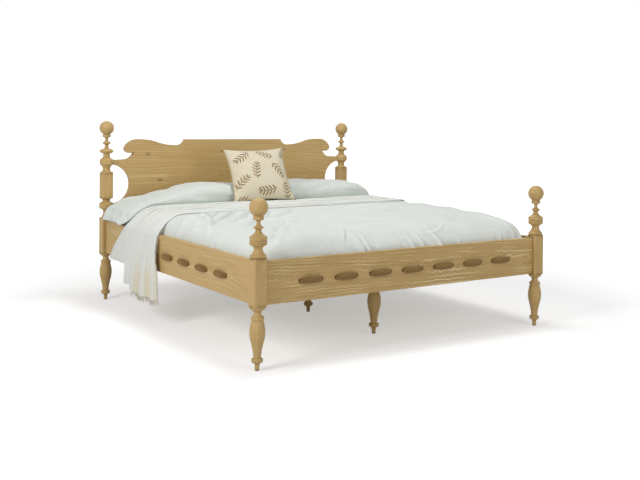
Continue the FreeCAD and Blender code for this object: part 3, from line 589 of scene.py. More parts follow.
for node in ("finial_dowels", "slot_plate_screws", "cleat_screws", "hanger_screws", "centre_leg_bolts",
             "slat_screws"):
    dress(nodes[node], bright)
dress(nodes["floor_glides"], moulded("glide_plastic", srgb(62, 58, 54)))


# ------------ twisted rope lengths
def rope_path(centre, along, outward):
    """Centre line of one rope length: out of the rail, along its face and in again."""
    run, bend, proud, deep = 0.042, 0.040, 0.0115, 0.018
    line = []
    for step in range(17):
        angle = math.pi - step * math.pi / 32
        line.append((-run / 2 + bend * math.cos(angle), (proud + deep) * math.sin(angle) ** 0.9 - deep))
    line += [(-x, out) for x, out in line[::-1]]
    line = resample(line, 80)
    return centre + line[:, :1] * along + line[:, 1:] * outward


def rope_strands(parts, path, normal, turn):
    """Three strands laid round a path, slimmer towards its ends."""
    lay, offset, thick, slimming = 0.040, 0.0092, 0.0066, 0.26
    side = np.cross(unit(np.gradient(path, axis=0)), normal)
    length = distances(path)
    slim = 1 - slimming * (2 * length / length[-1] - 1) ** 2
    for strand in range(3):
        angle = 2 * math.pi * (strand / 3 + turn + length / lay)
        away = np.cos(angle)[:, None] * normal + np.sin(angle)[:, None] * side
        parts.add(*tube(path + (offset * slim)[:, None] * away, thick * slim, sides=10))


def rope_row(name, node, centre, along, outward, pitch):
    """The rope lengths of one rail, evenly spaced about its centre."""
    parts = Parts()
    along, outward = np.array(along, float), np.array(outward, float)
    for index in range(ROPES):
        path = rope_path(np.array(centre) + along * (index - ROPES // 2) * pitch, along, outward)
        rope_strands(parts, path, np.array([0.0, 0.0, 1.0]), 0.13 * index)
    fit(parts.mesh(name), rope_finish, "frame", node)


rope_finish = jute("jute_rope")
RAIL_FACE_X, RAIL_FACE_Y, ROPE_Z = 0.937, 1.064, 0.411
ROPES, FOOT_PITCH, SIDE_PITCH = 7, 0.2115, 0.226
rope_row("foot_rope_twists", "foot_rail_ropes", (0, -RAIL_FACE_Y, ROPE_Z), (1, 0, 0), (0, -1, 0), FOOT_PITCH)
for side, way in (("left", -1), ("right", 1)):
    rope_row(side + "_rope_twists", "side_rail_ropes_" + side, (way * RAIL_FACE_X, 0, ROPE_Z), (0, 1, 0),
             (way, 0, 0), SIDE_PITCH)


# ------------ mattress
def mattress():
    """Quilted top, a flat base, a plain border and a piped edge at the top and at the bottom."""
    low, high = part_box("mattress")
    centre = (low + high) / 2
    half = np.array([(high.x - low.x) / 2, (high.y - low.y) / 2])
    corner, top_edge, low_edge = 0.110, 0.075, 0.040
    quilt_size, quilt_depth = 0.16, 0.009
    outline = []
    for sx, sy, start in ((1, 1, 0), (-1, 1, 90), (-1, -1, 180), (1, -1, 270)):
        for step in range(11):
            angle = math.radians(start + step * 9)
            outline.append((sx * (half[0] - corner) + corner * math.cos(angle),
                            sy * (half[1] - corner) + corner * math.sin(angle)))
    outline.append(outline[0])
    outline = resample(outline, 481)[:-1]
    outward = np.roll(outline, -1, axis=0) - np.roll(outline, 1, axis=0)
    outward = unit(np.stack([outward[:, 1], -outward[:, 0]], axis=1))
    # share of the outline, height, and distance out from it
    rows = [(share, high.z, 0.0) for share in np.linspace(0.02, 0.86, 40)]
    for step in range(11):
        angle = math.radians(90 - step * 9)
        rows.append((1.0, high.z - top_edge * (1 - math.sin(angle)), -top_edge * (1 - math.cos(angle))))
    rows += [(1.0, z, 0.0) for z in np.linspace(high.z - top_edge - 0.012, low.z + low_edge + 0.008, 8)]
    for step in range(7):
        angle = math.radians(-step * 15)
        rows.append((1.0, low.z + low_edge * (1 + math.sin(angle)), -low_edge * (1 - math.cos(angle))))
    rows += [(share, low.z, 0.0) for share in np.linspace(0.90, 0.02, 20)]

    def ring(share, z, offset):
        """The outline, made smaller or moved out, at one height."""
        spot = outline * share + outward * offset
        return np.column_stack([spot[:, 0] + centre.x, spot[:, 1] + centre.y, np.full(len(spot), z)])

    flat = np.concatenate([ring(*row) for row in rows])
    sides = len(outline)
    quilt = np.abs(np.sin((flat[:, 0] + flat[:, 1]) * math.pi / quilt_size)
                   * np.sin((flat[:, 0] - flat[:, 1]) * math.pi / quilt_size)) ** 0.45
    on_top = smoothstep(flat[:, 2], high.z - 0.02, high.z - 0.002)
    flat[:, 2] -= on_top * (quilt_depth * (1 - quilt))
    faces = grid_faces(len(rows), sides, ring=True, flip=True)
    faces.append(list(range(sides)))
    faces.append([(len(rows) - 1) * sides + i for i in range(sides)][::-1])
    piece = new_mesh("mattress_ticking", flat, faces)
    ticking = cloth("ticking", srgb(232, 230, 222), srgb(210, 208, 200), thread=0.0014, crease=0.0006)
    fit(piece, ticking, "mattress", "mattress")
    piping = Parts()
    top_seam, low_seam, sunk, radius = 0.062, 0.038, 0.0012, 0.0035
    for z in (high.z - top_seam, low.z + low_seam):
        piping.add(*tube(ring(1.0, z, -sunk)[::2], radius, sides=8, closed=True))
    tape = cloth("piping_tape", srgb(188, 190, 188), srgb(168, 170, 170), crease=0.0002)
    fit(piping.mesh("mattress_piping"), tape, "mattress")


mattress()


# ------------ duvet
CROWN = 0.648
HALF = 0.9085
HEM = 0.430
ROLL = 0.130
DROP = 0.125
DUVET_FOOT = -1.0345
SAG = 0.010
TIGHTER = 0.050         # how much narrower the roll is where the side is full
INNER_REACH = 0.060     # thickness where no mattress lies within it
ON_MATTRESS = 0.0015
# distance from the foot, inset of the side, fall of the crown, fall of the rounded side
DUVET_ROWS = np.array([
    (0.0, 0.110, 0.150, 0.055), (0.012, 0.075, 0.105, 0.080), (0.038, 0.042, 0.072, 0.098),
    (0.075, 0.014, 0.044, 0.110), (0.135, 0.002, 0.024, 0.118), (0.235, 0.0, 0.011, DROP),
    (0.435, 0.0, 0.005, DROP), (0.900, 0.0, 0.0, DROP), (2.0195, 0.0, 0.0, DROP),
])


def right_fullness(y):
    """How much fuller the right side is than the left: 0 at the foot to 1 by the pillows."""
    return float(smoothstep(y, -0.95, -0.35))


def side_shape(full):
    """Width of the rounded side and fall of the crown towards it, for a fullness from 0 to 1."""
    return ROLL - TIGHTER * full, SAG * (1 - full)


def duvet_line(row):
    """Cross-section of the duvet's outside from the right hem to the left, at one place (as DUVET_ROWS)."""
    reach, inset, fallen, fall = row
    half = HALF - inset
    crown = CROWN - fallen
    sides = []
    for full in (right_fullness(DUVET_FOOT + reach), 0.0):
        roll, sag = side_shape(full)
        side = [(half, HEM), (half, (HEM + crown - fall) / 2)]
        for step in range(13):
            angle = math.radians(step * 7.5)
            side.append((half - roll + roll * math.cos(angle), crown - fall + (fall - sag) * math.sin(angle)))
        for x in np.linspace(half - roll, 0, 12)[1:]:
            side.append((x, crown - sag * (x / (half - roll)) ** 2))
        sides.append(side)
    return sides[0] + [(-x, z) for x, z in sides[1][-2::-1]]


def duvet_grid(rows, cols):
    """Points on the duvet's outside, with the first rows on the part that drops at the foot."""
    dropping = 6
    reach = resample(np.column_stack([DUVET_ROWS[:, 0], -DUVET_ROWS[:, 2]]), rows - dropping)[:, 0]
    lines = []
    for distance in reach:
        row = [distance] + [np.interp(distance, DUVET_ROWS[:, 0], DUVET_ROWS[:, k]) for k in (1, 2, 3)]
        line = resample(duvet_line(row), cols)
        lines.append(np.column_stack([line[:, 0], np.full(cols, DUVET_FOOT + distance), line[:, 1]]))
    skirt = []
    for share in np.linspace(0, 1, dropping + 1)[:-1]:
        row = lines[0].copy()
        row[:, 2] = HEM + (row[:, 2] - HEM) * share
        skirt.append(row)
    return np.array(skirt + lines)


def gathers(along, seed):
    """Uneven small folds that run up from a rail. Along is metres along the rail."""
    line = np.column_stack([along, np.zeros_like(along), np.zeros_like(along)])
    fine = soft_noise(line, (46.0, 1, 1), seed) + 0.5 * soft_noise(line, (85.0, 1, 1), seed + 2)
    broad = soft_noise(line, (11.0, 1, 1), seed + 1)
    return np.maximum(fine, -0.2) * (0.45 + 0.55 * broad)


def crease(x, y, start, end, width, height, bow=0.0):
    """A ridge with a hollow beside it, from start to end in plan, bowed to one side."""
    a, b = np.array(start, float), np.array(end, float)
    d = b - a
    long = np.linalg.norm(d)
    d /= long
    along = ((x - a[0]) * d[0] + (y - a[1]) * d[1]) / long
    side = (x - a[0]) * -d[1] + (y - a[1]) * d[0]
    side = side - bow * 4 * along * (1 - along)
    fade = smoothstep(along, -0.12, 0.2) * (1 - smoothstep(along, 0.75, 1.12))
    ridge = np.exp(-(side / width) ** 2)
    hollow = np.exp(-((side - 1.7 * width) / (1.2 * width)) ** 2)
    return fade * height * (ridge - 0.6 * hollow)


# start, end, half width, height, bow, in plan and in metres
CREASES = [
    ((-0.60, 0.06), (-0.88, -0.20), 0.012, 0.014, 0.02), ((-0.52, 0.05), (-0.86, -0.34), 0.013, 0.015, 0.03),
    ((-0.40, 0.06), (-0.80, -0.42), 0.015, 0.014, 0.04), ((-0.30, 0.04), (-0.72, -0.50), 0.017, 0.012, 0.05),
    ((-0.12, 0.05), (-0.55, -0.40), 0.019, 0.010, 0.04), ((-0.66, 0.02), (-0.90, -0.06), 0.011, 0.012, 0.01),
    ((-0.72, 0.03), (-0.90, -0.42), 0.014, 0.012, 0.04), ((-0.48, -0.10), (-0.80, -0.62), 0.016, 0.010, 0.05),
    ((-0.27, -0.74), (-0.42, -1.02), 0.006, 0.006, 0.02), ((0.30, -0.90), (0.56, -0.70), 0.008, 0.005, -0.05),
    ((0.08, -0.98), (0.34, -0.90), 0.008, 0.005, -0.04), ((-0.02, 0.02), (0.55, -0.06), 0.017, 0.009, 0.02),
    ((0.10, -0.10), (0.72, -0.16), 0.020, 0.008, 0.02), ((-0.45, -0.50), (-0.72, -0.78), 0.020, -0.013, 0.03),
    ((-0.62, -0.70), (-0.80, -0.95), 0.018, -0.012, 0.01), ((0.80, -0.60), (0.86, -0.98), 0.018, 0.011, 0.02),
    ((0.72, -0.70), (0.80, -1.00), 0.014, 0.010, 0.01), ((-0.20, -0.55), (0.20, -0.70), 0.026, 0.006, 0.03),
    ((-0.70, -0.30), (-0.30, -0.62), 0.024, 0.007, 0.05), ((0.25, 0.03), (0.80, 0.00), 0.012, 0.008, 0.01),
]


def duvet_wrinkles(grid):
    """Height of the wrinkles at the points of the duvet's outside."""
    flat = grid.reshape(-1, 3)
    x, y, z = flat.T
    open_part = 1 - smoothstep(y, 0.02, 0.09)
    near_rail = np.exp(-np.maximum(z - 0.520, 0) / 0.050) * smoothstep(z, 0.470, 0.515)
    by_foot = smoothstep(-y, 0.84, 0.98)
    bunches = 0.22 + bump(x, -0.36, 0.13) + bump(x, 0.22, 0.20) + 0.9 * bump(x, 0.83, 0.09)
    drifting = x + 0.02 * soft_noise(flat, (2.0, 9.0, 9.0), 15)
    lift = 0.030 * near_rail * by_foot * bunches * gathers(drifting, 3)
    lift = lift + 0.015 * near_rail * (1 - by_foot) * gathers(y + 5 * np.sign(x), 7)
    on_top = smoothstep(z, 0.53, 0.60)
    for start, end, width, height, bow in CREASES:
        lift = lift + crease(x, y, start, end, width, height, bow) * np.maximum(on_top, 0.3 * near_rail)
    lift = lift + on_top * (0.006 * soft_noise(flat, 3.4, 11) + 0.004 * soft_noise(flat, (9.0, 6.0, 7.0), 12))
    return lift * open_part


def duvet():
    """A cover that wrinkles as cloth, with its inner side on the mattress."""
    rows, cols = 150, 150
    grid = relaxed(duvet_grid(rows, cols), 4)
    flat = grid.reshape(-1, 3)
    outward = grid_normals(grid).reshape(-1, 3)
    x, y, z = flat.T
    piece = new_mesh("duvet_sheet", flat + outward * (0.003 * soft_noise(flat, 8.0, 14))[:, None],
                     grid_faces(rows, cols))
    edge = np.maximum.reduce([1 - smoothstep(z, 0.50, 0.54), smoothstep(y, 0.50, 0.62)])
    hold = np.clip(0.05 + 0.10 * smoothstep(y, 0.02, 0.10) + edge, 0, 1)
    simulate(piece, 26, 0.018, grow=0.030, hold=hold, stiffness=18.0, bending=0.25)
    after = mesh_points(piece)
    under = smoothstep(y, 0.05, 0.12)[:, None]
    set_points(piece, after + (flat - after) * under)
    outer = mesh_points(piece).reshape(rows, cols, 3)
    below = nodes["mattress"].data
    bed = BVHTree.FromPolygons([v.co for v in below.vertices], [p.vertices for p in below.polygons])
    inner = []
    for point, normal in zip(flat, outward):
        hit = bed.ray_cast(Vector(point), Vector(-normal), 0.30)
        depth = hit[3] - ON_MATTRESS if hit[0] is not None else INNER_REACH
        inner.append(point - normal * min(max(depth, 0.004), INNER_REACH))
    inner = doubled(doubled(relaxed(np.array(inner).reshape(rows, cols, 3), 2)), axes=(1,))
    bpy.data.objects.remove(piece)
    outer = doubled(doubled(outer), axes=(1,))
    rows, cols = outer.shape[:2]
    outer = outer + grid_normals(outer) * duvet_wrinkles(outer).reshape(rows, cols, 1)
    count = rows * cols
    faces = grid_faces(rows, cols) + grid_faces(rows, cols, start=count, flip=True)
    rim = [(r, 0) for r in range(rows)] + [(rows - 1, c) for c in range(1, cols)]
    rim += [(r, cols - 1) for r in range(rows - 2, -1, -1)] + [(0, c) for c in range(cols - 2, 0, -1)]
    rim = [r * cols + c for r, c in rim]
    for a, b in zip(rim, rim[1:] + rim[:1]):
        faces.append([b, a, a + count, b + count])
    piece = new_mesh("duvet_cover", np.concatenate([outer.reshape(-1, 3), inner.reshape(-1, 3)]), faces)
    cotton = cloth("washed_cotton", srgb(228, 232, 227), srgb(212, 218, 212), crease=0.0022,
                   crease_scale=24.0)
    fit(piece, cotton, "duvet", "duvet")


duvet()


# ------------ throw
SIDE_X = 0.937
THROW_THICKNESS = 0.0014
# distances along the throw from its right end: where it starts to hang, hangs fully and starts to take its
# cream tone with painted fold shade
HANG_START, HANG_FULL, CREAM_START = 1.72, 2.26, 2.02


def roll_spot(side, share):
    """Point (x, z) and outward direction on the duvet's rounded side, from 0 at its top to 1."""
    angle = math.radians(90 * (1 - share))
    roll, sag = side_shape(1.0 if side > 0 else 0.0)
    centre = (HALF - roll, CROWN - DROP)
    reach = (roll, DROP - sag)
    spot = (centre[0] + reach[0] * math.cos(angle), centre[1] + reach[1] * math.sin(angle))
    normal = unit(np.array([math.cos(angle) / reach[0], math.sin(angle) / reach[1]]))
    return (side * (spot[0] + normal[0] * 0.003), spot[1] + normal[1] * 0.003), (side * normal[0], normal[1])


# point (x, z) that it lies on, outward direction, y of both edges, height of the folds, how far they lean
THROW_STATIONS = [
    roll_spot(1, 0.70) + (0.170, 0.470, 0.006, 0.010), roll_spot(1, 0.45) + (0.155, 0.490, 0.007, 0.010),
    roll_spot(1, 0.2) + (0.142, 0.508, 0.009, 0.011), roll_spot(1, 0.0) + (0.130, 0.520, 0.010, 0.012),
    ((0.65, CROWN + 0.0006), (0, 1), 0.120, 0.525, 0.012, 0.013),
    ((0.25, CROWN + 0.0006), (0, 1), 0.100, 0.530, 0.012, 0.014),
    ((-0.25, CROWN + 0.0006), (0, 1), 0.095, 0.535, 0.012, 0.014),
    ((-0.65, CROWN - 0.0054), (0, 1), 0.105, 0.550, 0.012, 0.014),
    roll_spot(-1, 0.0) + (0.108, 0.565, 0.010, 0.013), roll_spot(-1, 0.16) + (0.114, 0.580, 0.008, 0.012),
    roll_spot(-1, 0.32) + (0.120, 0.595, 0.007, 0.010),
    ((-0.890, 0.590), (-0.70, 0.71), 0.126, 0.612, 0.007, 0.009),
    ((-SIDE_X + 0.015, 0.552), (-0.80, 0.60), 0.130, 0.628, 0.008, 0.010),
    ((-SIDE_X - 0.007, 0.519), (-0.93, 0.36), 0.130, 0.650, 0.009, 0.010),
    ((-SIDE_X - 0.016, 0.480), (-1, 0), 0.126, 0.680, 0.010, 0.010),
    ((-SIDE_X - 0.028, 0.415), (-1, 0), 0.116, 0.742, 0.013, 0.011),
    ((-SIDE_X - 0.026, 0.300), (-1, 0), 0.100, 0.865, 0.020, 0.012),
    ((-SIDE_X - 0.023, 0.200), (-1, 0), 0.092, 0.930, 0.024, 0.013),
    ((-SIDE_X - 0.023, 0.125), (-1, 0), 0.088, 0.960, 0.025, 0.013),
]


def throw():
    """A light throw bunched across the bed, hanging in pleats on the left."""
    table = np.array([[s[0][0], s[0][1], s[1][0], s[1][1]] + list(s[2:]) for s in THROW_STATIONS])
    along = distances(table[:, :2])
    rows, cols = 320, 280
    at = np.linspace(0, along[-1], rows)
    fine = resample(table, rows, along)
    for _ in range(3):
        fine[1:-1] = (fine[:-2] + 2 * fine[1:-1] + fine[2:]) / 4
    q = np.linspace(0, 1, cols)
    folds = 6.0
    points = np.zeros((rows, cols, 3))
    depth = np.zeros((rows, cols))
    for r in range(rows):
        px, pz, nx, nz, y0, y1, height, lean = fine[r]
        normal = np.array([nx, nz]) / math.hypot(nx, nz)
        hanging = float(smoothstep(at[r], HANG_START, HANG_FULL))
        creamy = float(smoothstep(at[r], CREAM_START, HANG_FULL))
        spot = np.column_stack([q * 2.3, np.full(cols, at[r] * 0.9), np.zeros(cols)])
        slow = soft_noise(spot, 1.3, 21)
        drift = soft_noise(spot, (2.0, 1.1, 1.0), 25)
        phase = 2 * math.pi * (folds * q + 0.42 * slow + (1 - hanging) * 0.35 * drift)
        swell = 0.70 + 0.45 * soft_noise(spot, (3.0, 2.2, 1.0), 22)
        calm = 1 - 0.62 * hanging * smoothstep(q, 0.40, 0.54)
        edge = smoothstep(q, 0.0, 0.05) * (1 - smoothstep(q, 0.95, 1.0))
        wave = 0.5 - 0.5 * np.cos(phase)
        small = 0.5 + 0.5 * np.sin(2.7 * phase + 2.0 * drift)
        form = wave + 0.22 * small * (1 - hanging)
        lift = height * np.clip(swell, 0.25, 1.2) * calm * form * (edge + (1 - edge) * 0.25 * hanging)
        y = y0 + (y1 - y0) * q + lean * calm * edge * np.sin(2 * phase) * (0.8 + 0.4 * slow)
        y = y + 0.004 * soft_noise(spot, (8.0, 5.0, 1.0), 23)
        lift = lift + 0.0006 + 0.0012 * edge * (1 + soft_noise(spot, (14.0, 9.0, 1.0), 24))
        lift = lift + 0.0040 * hanging * smoothstep(y, 0.468, 0.474) * float(smoothstep(pz, 0.30, 0.37))
        points[r, :, 0] = px + normal[0] * lift
        points[r, :, 1] = y
        points[r, :, 2] = pz + normal[1] * lift
        # Cream tone with painted fold shade: some over the hanging part near its foot edge, most in the fold
        # valleys.
        depth[r] = creamy * (1 - smoothstep(q, 0.34, 0.50)) * (0.30 + 0.70 * (1 - wave))
    points = hems(points, q)
    piece = new_mesh("throw_cloth", points.reshape(-1, 3), grid_faces(rows, cols))
    paint(piece, ink=depth, ink_shade=np.zeros_like(depth))
    modified(piece, "SOLIDIFY", thickness=THROW_THICKNESS, offset=1.0)
    # cream: the throw's tone near its foot edge, and painted shade in its folds
    cream = srgb(226, 217, 190)
    finish = cloth("throw_weave", srgb(232, 234, 229), srgb(220, 222, 214), thread=0.0022, crease=0.0014,
                   crease_scale=45.0, print_and_shade_colours=(cream, cream))
    fit(piece, finish, "throw", "throw")
    fringe = throw_fringe(points)


def hem_height(share):
    """Height of the hem at a share of the throw's width, from its foot edge to its head edge."""
    return 0.148 + 0.030 * smoothstep(share, 0.42, 0.47) + 0.122 * smoothstep(share, 0.60, 0.65)


def hems(points, q):
    """Shortens the hanging cloth to its hem: the last rows are drawn up, evenly along each column."""
    rows = points.shape[0]
    for c, share in enumerate(q):
        column = points[:, c]
        hang = np.nonzero((column[:, 0] < -0.9) & (column[:, 2] < 0.50))[0]
        first = hang[0]
        keep = column[first:, :]
        bottom = hem_height(share)
        top = keep[0, 2]
        wanted = top + (bottom - top) * (top - keep[:, 2]) / (top - keep[-1, 2])
        order = np.argsort(keep[:, 2])
        new = np.stack([np.interp(wanted, keep[order, 2], keep[order, k]) for k in (0, 1)], axis=1)
        points[first:, c, 0] = new[:, 0]
        points[first:, c, 1] = new[:, 1]
        points[first:, c, 2] = wanted
    return points


def throw_fringe(points):
    """Short twisted ends along the foot edge of the hanging part and along the long hem."""
    parts = Parts()
    rng = np.random.default_rng(5)
    edge = points[:, 0]
    edge = edge[edge[:, 0] < -0.90]
    down_ends, hem_ends, fringed = 92, 105, 0.43
    down = resample(edge, down_ends)
    hem = resample(points[-1, : int(points.shape[1] * fringed)], hem_ends)
    for anchors, way in ((down, (0.0, -1.0, -0.55)), (hem, (0.0, 0.0, -1.0))):
        for anchor in anchors:
            aim = unit(np.array(way) + rng.normal(0, 0.22, 3) * np.array([0.6, 1.0, 0.6]))
            length = 0.020 + 0.008 * rng.random()
            bend = rng.normal(0, 0.004, 3)
            line = [anchor + aim * length * t + (bend + np.array([0, 0, -0.006])) * t * t
                    for t in np.linspace(-0.1, 1, 6)]
            parts.add(*tube(line, np.array([1.0, 1.5, 1.1, 1.0, 0.9, 0.5]) * 0.001, sides=5))
    piece = parts.mesh("throw_fringe")
    yarn = cloth("fringe_yarn", srgb(226, 222, 205), srgb(196, 188, 164), thread=0.0012, crease=0.0002)
    fit(piece, yarn, "throw")
    return piece


throw()


# ------------ pillows
def pillow(side):
    """One pillow from its CAD form, puffed as cloth, with creases that run from its ends."""
    name = "left" if side < 0 else "right"
    piece = copy_of("pillow_" + name, "pillow_%s_case" % name)
    modified(piece, "REMESH", mode="VOXEL", voxel_size=0.0085)
    simulate(piece, 20, 0.012, pressure=2.0, grow=0.016, stiffness=15.0, bending=0.3)
    modified(piece, "SUBSURF", levels=1, render_levels=1)
    co = mesh_points(piece)
    out = co[:, 0] * side
    front = 1 - smoothstep(co[:, 1], 0.60, 0.74)
    low_part = 1 - smoothstep(co[:, 2], CROWN - 0.01, CROWN + 0.05)
    thinner = (0.66 if side < 0 else 0.10) * smoothstep(out, 0.35, 0.80)
    co[:, 2] -= thinner * np.maximum(co[:, 2] - CROWN, 0)
    co[:, 2] -= 0.032 * smoothstep(out, 0.78, 0.97) + 0.014 * smoothstep(out, 0.70, 0.86) * front * low_part
    co[:, 1] -= 0.010 * front * low_part
    set_points(piece, co)
    n = mesh_normals(piece)
    seed = 40 + side
    slanted = np.column_stack([co[:, 0] + 0.8 * side * co[:, 2], co[:, 1], co[:, 2] - 0.5 * side * co[:, 0]])
    folds = soft_noise(slanted, (3.4, 12.0, 15.0), seed) * 0.0070
    folds = folds + np.maximum(soft_noise(slanted, (4.6, 24.0, 28.0), seed + 3), -0.1) * 0.0050
    ends = smoothstep(out, 0.62, 0.92) + (1 - smoothstep(out, 0.06, 0.20))
    folds = folds + ends * 0.004 * soft_noise(co, (9.0, 48.0, 20.0), seed + 5)
    above = smoothstep(n[:, 2], -0.2, 0.3)
    set_points(piece, co + n * (folds * above - 0.001)[:, None])
    cotton = cloth("pillow_cotton_" + name, srgb(223, 228, 222), srgb(206, 213, 206), crease=0.0018,
                   crease_scale=26.0)
    fit(piece, cotton, "pillow_" + name, "pillow_" + name)


pillow(-1)
pillow(1)


# ------------ cushion
CUSHION = 0.420
CUSHION_HEIGHT_SHARE = 0.95
CUSHION_X, CUSHION_Y = -0.052, 0.475
CUSHION_TURNS = ((-8.5, "Z"), (-32.5, "X"), (-1.7, "Y"))
cushion_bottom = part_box("cushion")[0].z
cushion_place = Matrix.Translation((CUSHION_X, CUSHION_Y, cushion_bottom))
for degrees, axis in CUSHION_TURNS:
    cushion_place = cushion_place @ Matrix.Rotation(math.radians(degrees), 4, axis)
cushion_place = cushion_place @ Matrix.Translation((0, 0, 0.5 * CUSHION_HEIGHT_SHARE * CUSHION))


# centre, direction in degrees and size of each sprig on the cushion
SPRIGS = [
    (-0.115, 0.115, 215, 1.35), (0.050, 0.130, 150, 1.25), (-0.030, 0.005, 80, 1.30),
    (0.120, 0.000, 300, 1.35), (-0.140, -0.075, 40, 1.30), (0.020, -0.135, 185, 1.35),
    (0.160, -0.140, 95, 1.15), (0.190, 0.150, 240, 1.15), (-0.140, -0.200, 350, 1.1),
]


LEAF_LEAN = math.radians(50)


def leaf_print(u, v):
    """Generic sprigs of paired leaves, scattered. Returns the ink's strength and its shade."""
    ink = np.zeros_like(u)
    shade = np.zeros_like(u)
    for cx, cy, degrees, size in SPRIGS:
        a = math.radians(degrees)
        p = ((u - cx) * math.cos(a) + (v - cy) * math.sin(a)) / size
        q = (-(u - cx) * math.sin(a) + (v - cy) * math.cos(a)) / size
        q = q + 2.6 * p * p - 0.005
        stem = np.clip(1.6 - np.abs(q) / 0.0014, 0, 1) * np.clip((0.052 - np.abs(p)) / 0.004, 0, 1)
        ink = np.maximum(ink, 0.9 * stem)
        for step in range(5):
            base = -0.042 + 0.0185 * step
            long = 0.024 * math.sin(math.pi * (0.30 + 0.13 * step)) + 0.008
            for way in (-1, 1):
                du = p - base
                dv = q * way
                along = du * math.cos(LEAF_LEAN) + dv * math.sin(LEAF_LEAN) - long / 2
                aside = -du * math.sin(LEAF_LEAN) + dv * math.cos(LEAF_LEAN)
                inside = 1 - np.sqrt((along / (long / 2)) ** 2 + (aside / 0.0036) ** 2)
                strength = np.clip(inside * 4, 0, 1)
                shade = np.where(strength > ink, np.clip(along / long + 0.45 + 0.25 * way, 0, 1), shade)
                ink = np.maximum(ink, strength)
    return ink, shade


def drawn_in(share):
    """How far out a side of the cushion reaches, from 1 at its corners (-1 and 1) to less between."""
    return 1 - 0.085 * (1 - share ** 2)


def cushion_tassels(seam):
    """A short tassel at each corner of the seam."""
    tassels = Parts()
    rng = np.random.default_rng(9)
    for sx, sz in ((-1, -1), (-1, 1), (1, -1), (1, 1)):
        corner = seam[np.argmax(seam[:, 0] * sx + seam[:, 2] * sz)]
        way = np.array([np.sign(corner[0]) * 0.75, 0.0, -0.35])
        head = [corner + way * t for t in (0.0, 0.004, 0.008, 0.012)]
        tassels.add(*tube(head, [0.0016, 0.0034, 0.0036, 0.0022], sides=8))
        for _ in range(16):
            aim = unit(way + rng.normal(0, 0.16, 3) + np.array([0, 0, -0.5]))
            start = corner + way * 0.011
            line = [start + aim * 0.017 * t for t in np.linspace(0, 1, 4)]
            tassels.add(*tube(line, [0.0009, 0.0010, 0.0009, 0.0005], sides=5))
    return tassels.mesh("cushion_tassels")


def cushion():
    """Two squares sewn at the edge with drawn-in sides, filled, with a corded seam and tassels."""
    count = 64
    half = CUSHION / 2
    s = np.linspace(-1, 1, count)
    uu, vv = np.meshgrid(s, s)
    x = half * uu * drawn_in(vv)
    z = half * CUSHION_HEIGHT_SHARE * vv * drawn_in(uu)
    middle_depth = 0.052
    deep = middle_depth * np.clip((1 - uu ** 2) * (1 - vv ** 2), 0, 1) ** 0.42
    front = np.stack([x, -deep, z], axis=2).reshape(-1, 3)
    back = np.stack([x, deep, z], axis=2).reshape(-1, 3)
    number = np.arange(count * count).reshape(count, count)
    other = number + count * count
    rim = np.zeros((count, count), bool)
    rim[0], rim[-1], rim[:, 0], rim[:, -1] = True, True, True, True
    other[rim] = number[rim]
    faces = []
    for r in range(count - 1):
        for c in range(count - 1):
            faces.append([number[r, c], number[r, c + 1], number[r + 1, c + 1], number[r + 1, c]])
            faces.append([other[r + 1, c], other[r + 1, c + 1], other[r, c + 1], other[r, c]])
    points = np.concatenate([front, back])
    used = sorted({i for face in faces for i in face})
    new = {old: i for i, old in enumerate(used)}
    piece = new_mesh("cushion_cover", points[used], [[new[i] for i in face] for face in faces])
    seam_numbers = [new[i] for i in list(number[0]) + list(number[1:, -1]) + list(number[-1, -2::-1])
                    + list(number[-2:0:-1, 0])]
    hold = np.zeros(len(used))
    hold[seam_numbers] = 0.6
    simulate(piece, 20, 0.018, pressure=4.0, grow=0.015, hold=hold, stiffness=15.0, bending=0.3)
    seam = mesh_points(piece)[seam_numbers]
    modified(piece, "SUBSURF", levels=2, render_levels=2)
    co = mesh_points(piece)
    n = mesh_normals(piece)
    near_rim = smoothstep(np.maximum(np.abs(co[:, 0]), np.abs(co[:, 2])), 0.14, 0.21)
    co = co + n * (near_rim * 0.0022 * soft_noise(co, (30.0, 30.0, 30.0), 61)
                   + 0.0016 * soft_noise(co, 11.0, 62))[:, None]
    set_points(piece, co)
    ink, shade = leaf_print(co[:, 0] * np.sign(-co[:, 1] + 1e-9), co[:, 2])
    paint(piece, ink=ink, ink_shade=shade)
    piping = Parts()
    piping.add(*tube(seam, 0.0026, sides=8, closed=True))
    cord = piping.mesh("cushion_piping")
    tassels = cushion_tassels(seam)
    piece.data.transform(cushion_place)
    sunk = 0.003
    settle = Matrix.Translation((0, 0, cushion_bottom - sunk - mesh_points(piece)[:, 2].min()))
    piece.data.transform(settle)
    for item in (cord, tassels):
        item.data.transform(settle @ cushion_place)
    cotton = cloth("printed_cotton", srgb(223, 214, 189), srgb(209, 199, 173), crease=0.0008,
                   print_and_shade_colours=(srgb(108, 80, 28), srgb(160, 126, 62)))
    fit(piece, cotton, "cushion", "cushion")
    edging = cloth("piping_cotton", srgb(214, 200, 168), srgb(180, 160, 118), crease=0.0002)
    fit(cord, edging, "cushion")
    yarn = cloth("tassel_yarn", srgb(150, 124, 82), srgb(120, 96, 58), crease=0.0002)
    fit(tassels, yarn, "cushion")


cushion()


# ------------ studio
FLOOR_GLOW = 0.40
GLOW_START, GLOW_FULL = 1.9, 4.5
WORLD_LIGHT = 0.28
# name, place, size in metres and power in watts
LAMPS = (("key", (-5.4, -1.5, 3.3), 2.2, 150.0), ("top", (0.2, -0.2, 4.2), 1.4, 62.0),
         ("front", (0.8, -5.2, 2.2), 2.6, 48.0))


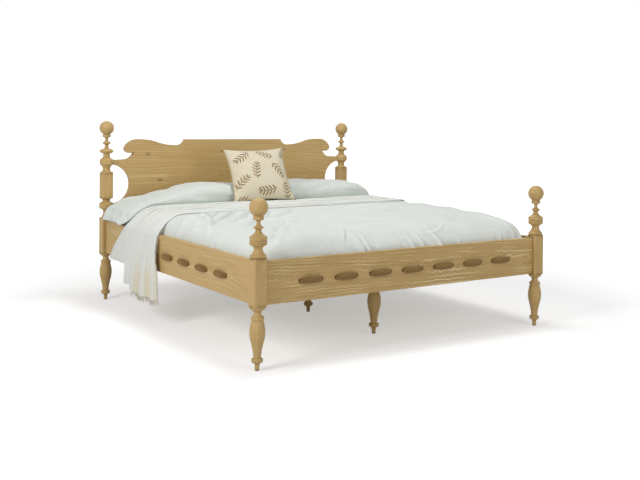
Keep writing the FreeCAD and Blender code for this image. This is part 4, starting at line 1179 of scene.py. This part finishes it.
def studio():
    """A floor that is white to the camera but keeps the shadow, a white world and three soft lamps."""
    floor = new_mesh("floor", [(-30, -30, 0), (30, -30, 0), (30, 60, 0), (-30, 60, 0)], [[0, 1, 2, 3]])
    s = Shader("studio_floor")
    reach = s.vector("LENGTH", s.coordinates())
    far = s.add("MapRange", {"Value": reach, "From Min": GLOW_START, "From Max": GLOW_FULL,
                             "To Min": FLOOR_GLOW, "To Max": 1.0})
    diffuse = s.add("BsdfDiffuse", {"Color": (0.80, 0.80, 0.80, 1)})
    strength = s.times(s.plain_sight(), far.outputs[0])
    glow = s.add("Emission", {"Color": (1, 1, 1, 1), "Strength": strength})
    both = s.add("AddShader", {0: diffuse.outputs[0], 1: glow.outputs[0]})
    s.put(s.tree.nodes["Material Output"], "Surface", both.outputs[0])
    dress(floor, s.material)

    s = Shader("studio", bpy.data.worlds.new("studio"))
    scene.world = s.material
    level = s.add("MapRange", {"Value": s.plain_sight(), "To Min": WORLD_LIGHT, "To Max": 1.0})
    background = s.tree.nodes["Background"]
    s.put(background, "Strength", level.outputs[0])
    s.put(background, "Color", (1, 1, 1, 1))

    for name, place, size, power in LAMPS:
        lamp = bpy.data.lights.new(name, "AREA")
        set_all(lamp, shape="SQUARE", size=size, energy=power)
        aim = (Vector((0, 0, 0.5)) - Vector(place)).to_track_quat("-Z", "Y")
        set_all(new_object(name, lamp), location=place, rotation_mode="QUATERNION", rotation_quaternion=aim)


def camera():
    """The photograph's view, worked out from the straight rails and posts."""
    place = (-3.07, -5.03, 1.21)
    yaw, pitch, roll = math.radians(35.45), math.radians(0.90), math.radians(0.70)
    focal_pixels, frame_pixels, sensor = 942.0, 640.0, 36.0
    shift = (-0.0888, -0.1661)
    forward = Vector((math.sin(yaw) * math.cos(pitch), math.cos(yaw) * math.cos(pitch), -math.sin(pitch)))
    right = Vector((math.cos(yaw), -math.sin(yaw), 0))
    up = right.cross(forward)
    rolled_right = math.cos(roll) * right + math.sin(roll) * up
    rolled_up = -math.sin(roll) * right + math.cos(roll) * up
    data = bpy.data.cameras.new("camera")
    set_all(data, sensor_width=sensor, lens=focal_pixels / frame_pixels * sensor, shift_x=shift[0],
            shift_y=shift[1])
    holder = new_object("camera", data)
    turn = Matrix((rolled_right, rolled_up, -forward)).transposed().to_4x4()
    holder.matrix_world = Matrix.Translation(place) @ turn
    scene.camera = holder


studio()
camera()
scene.view_settings.view_transform = "Standard"
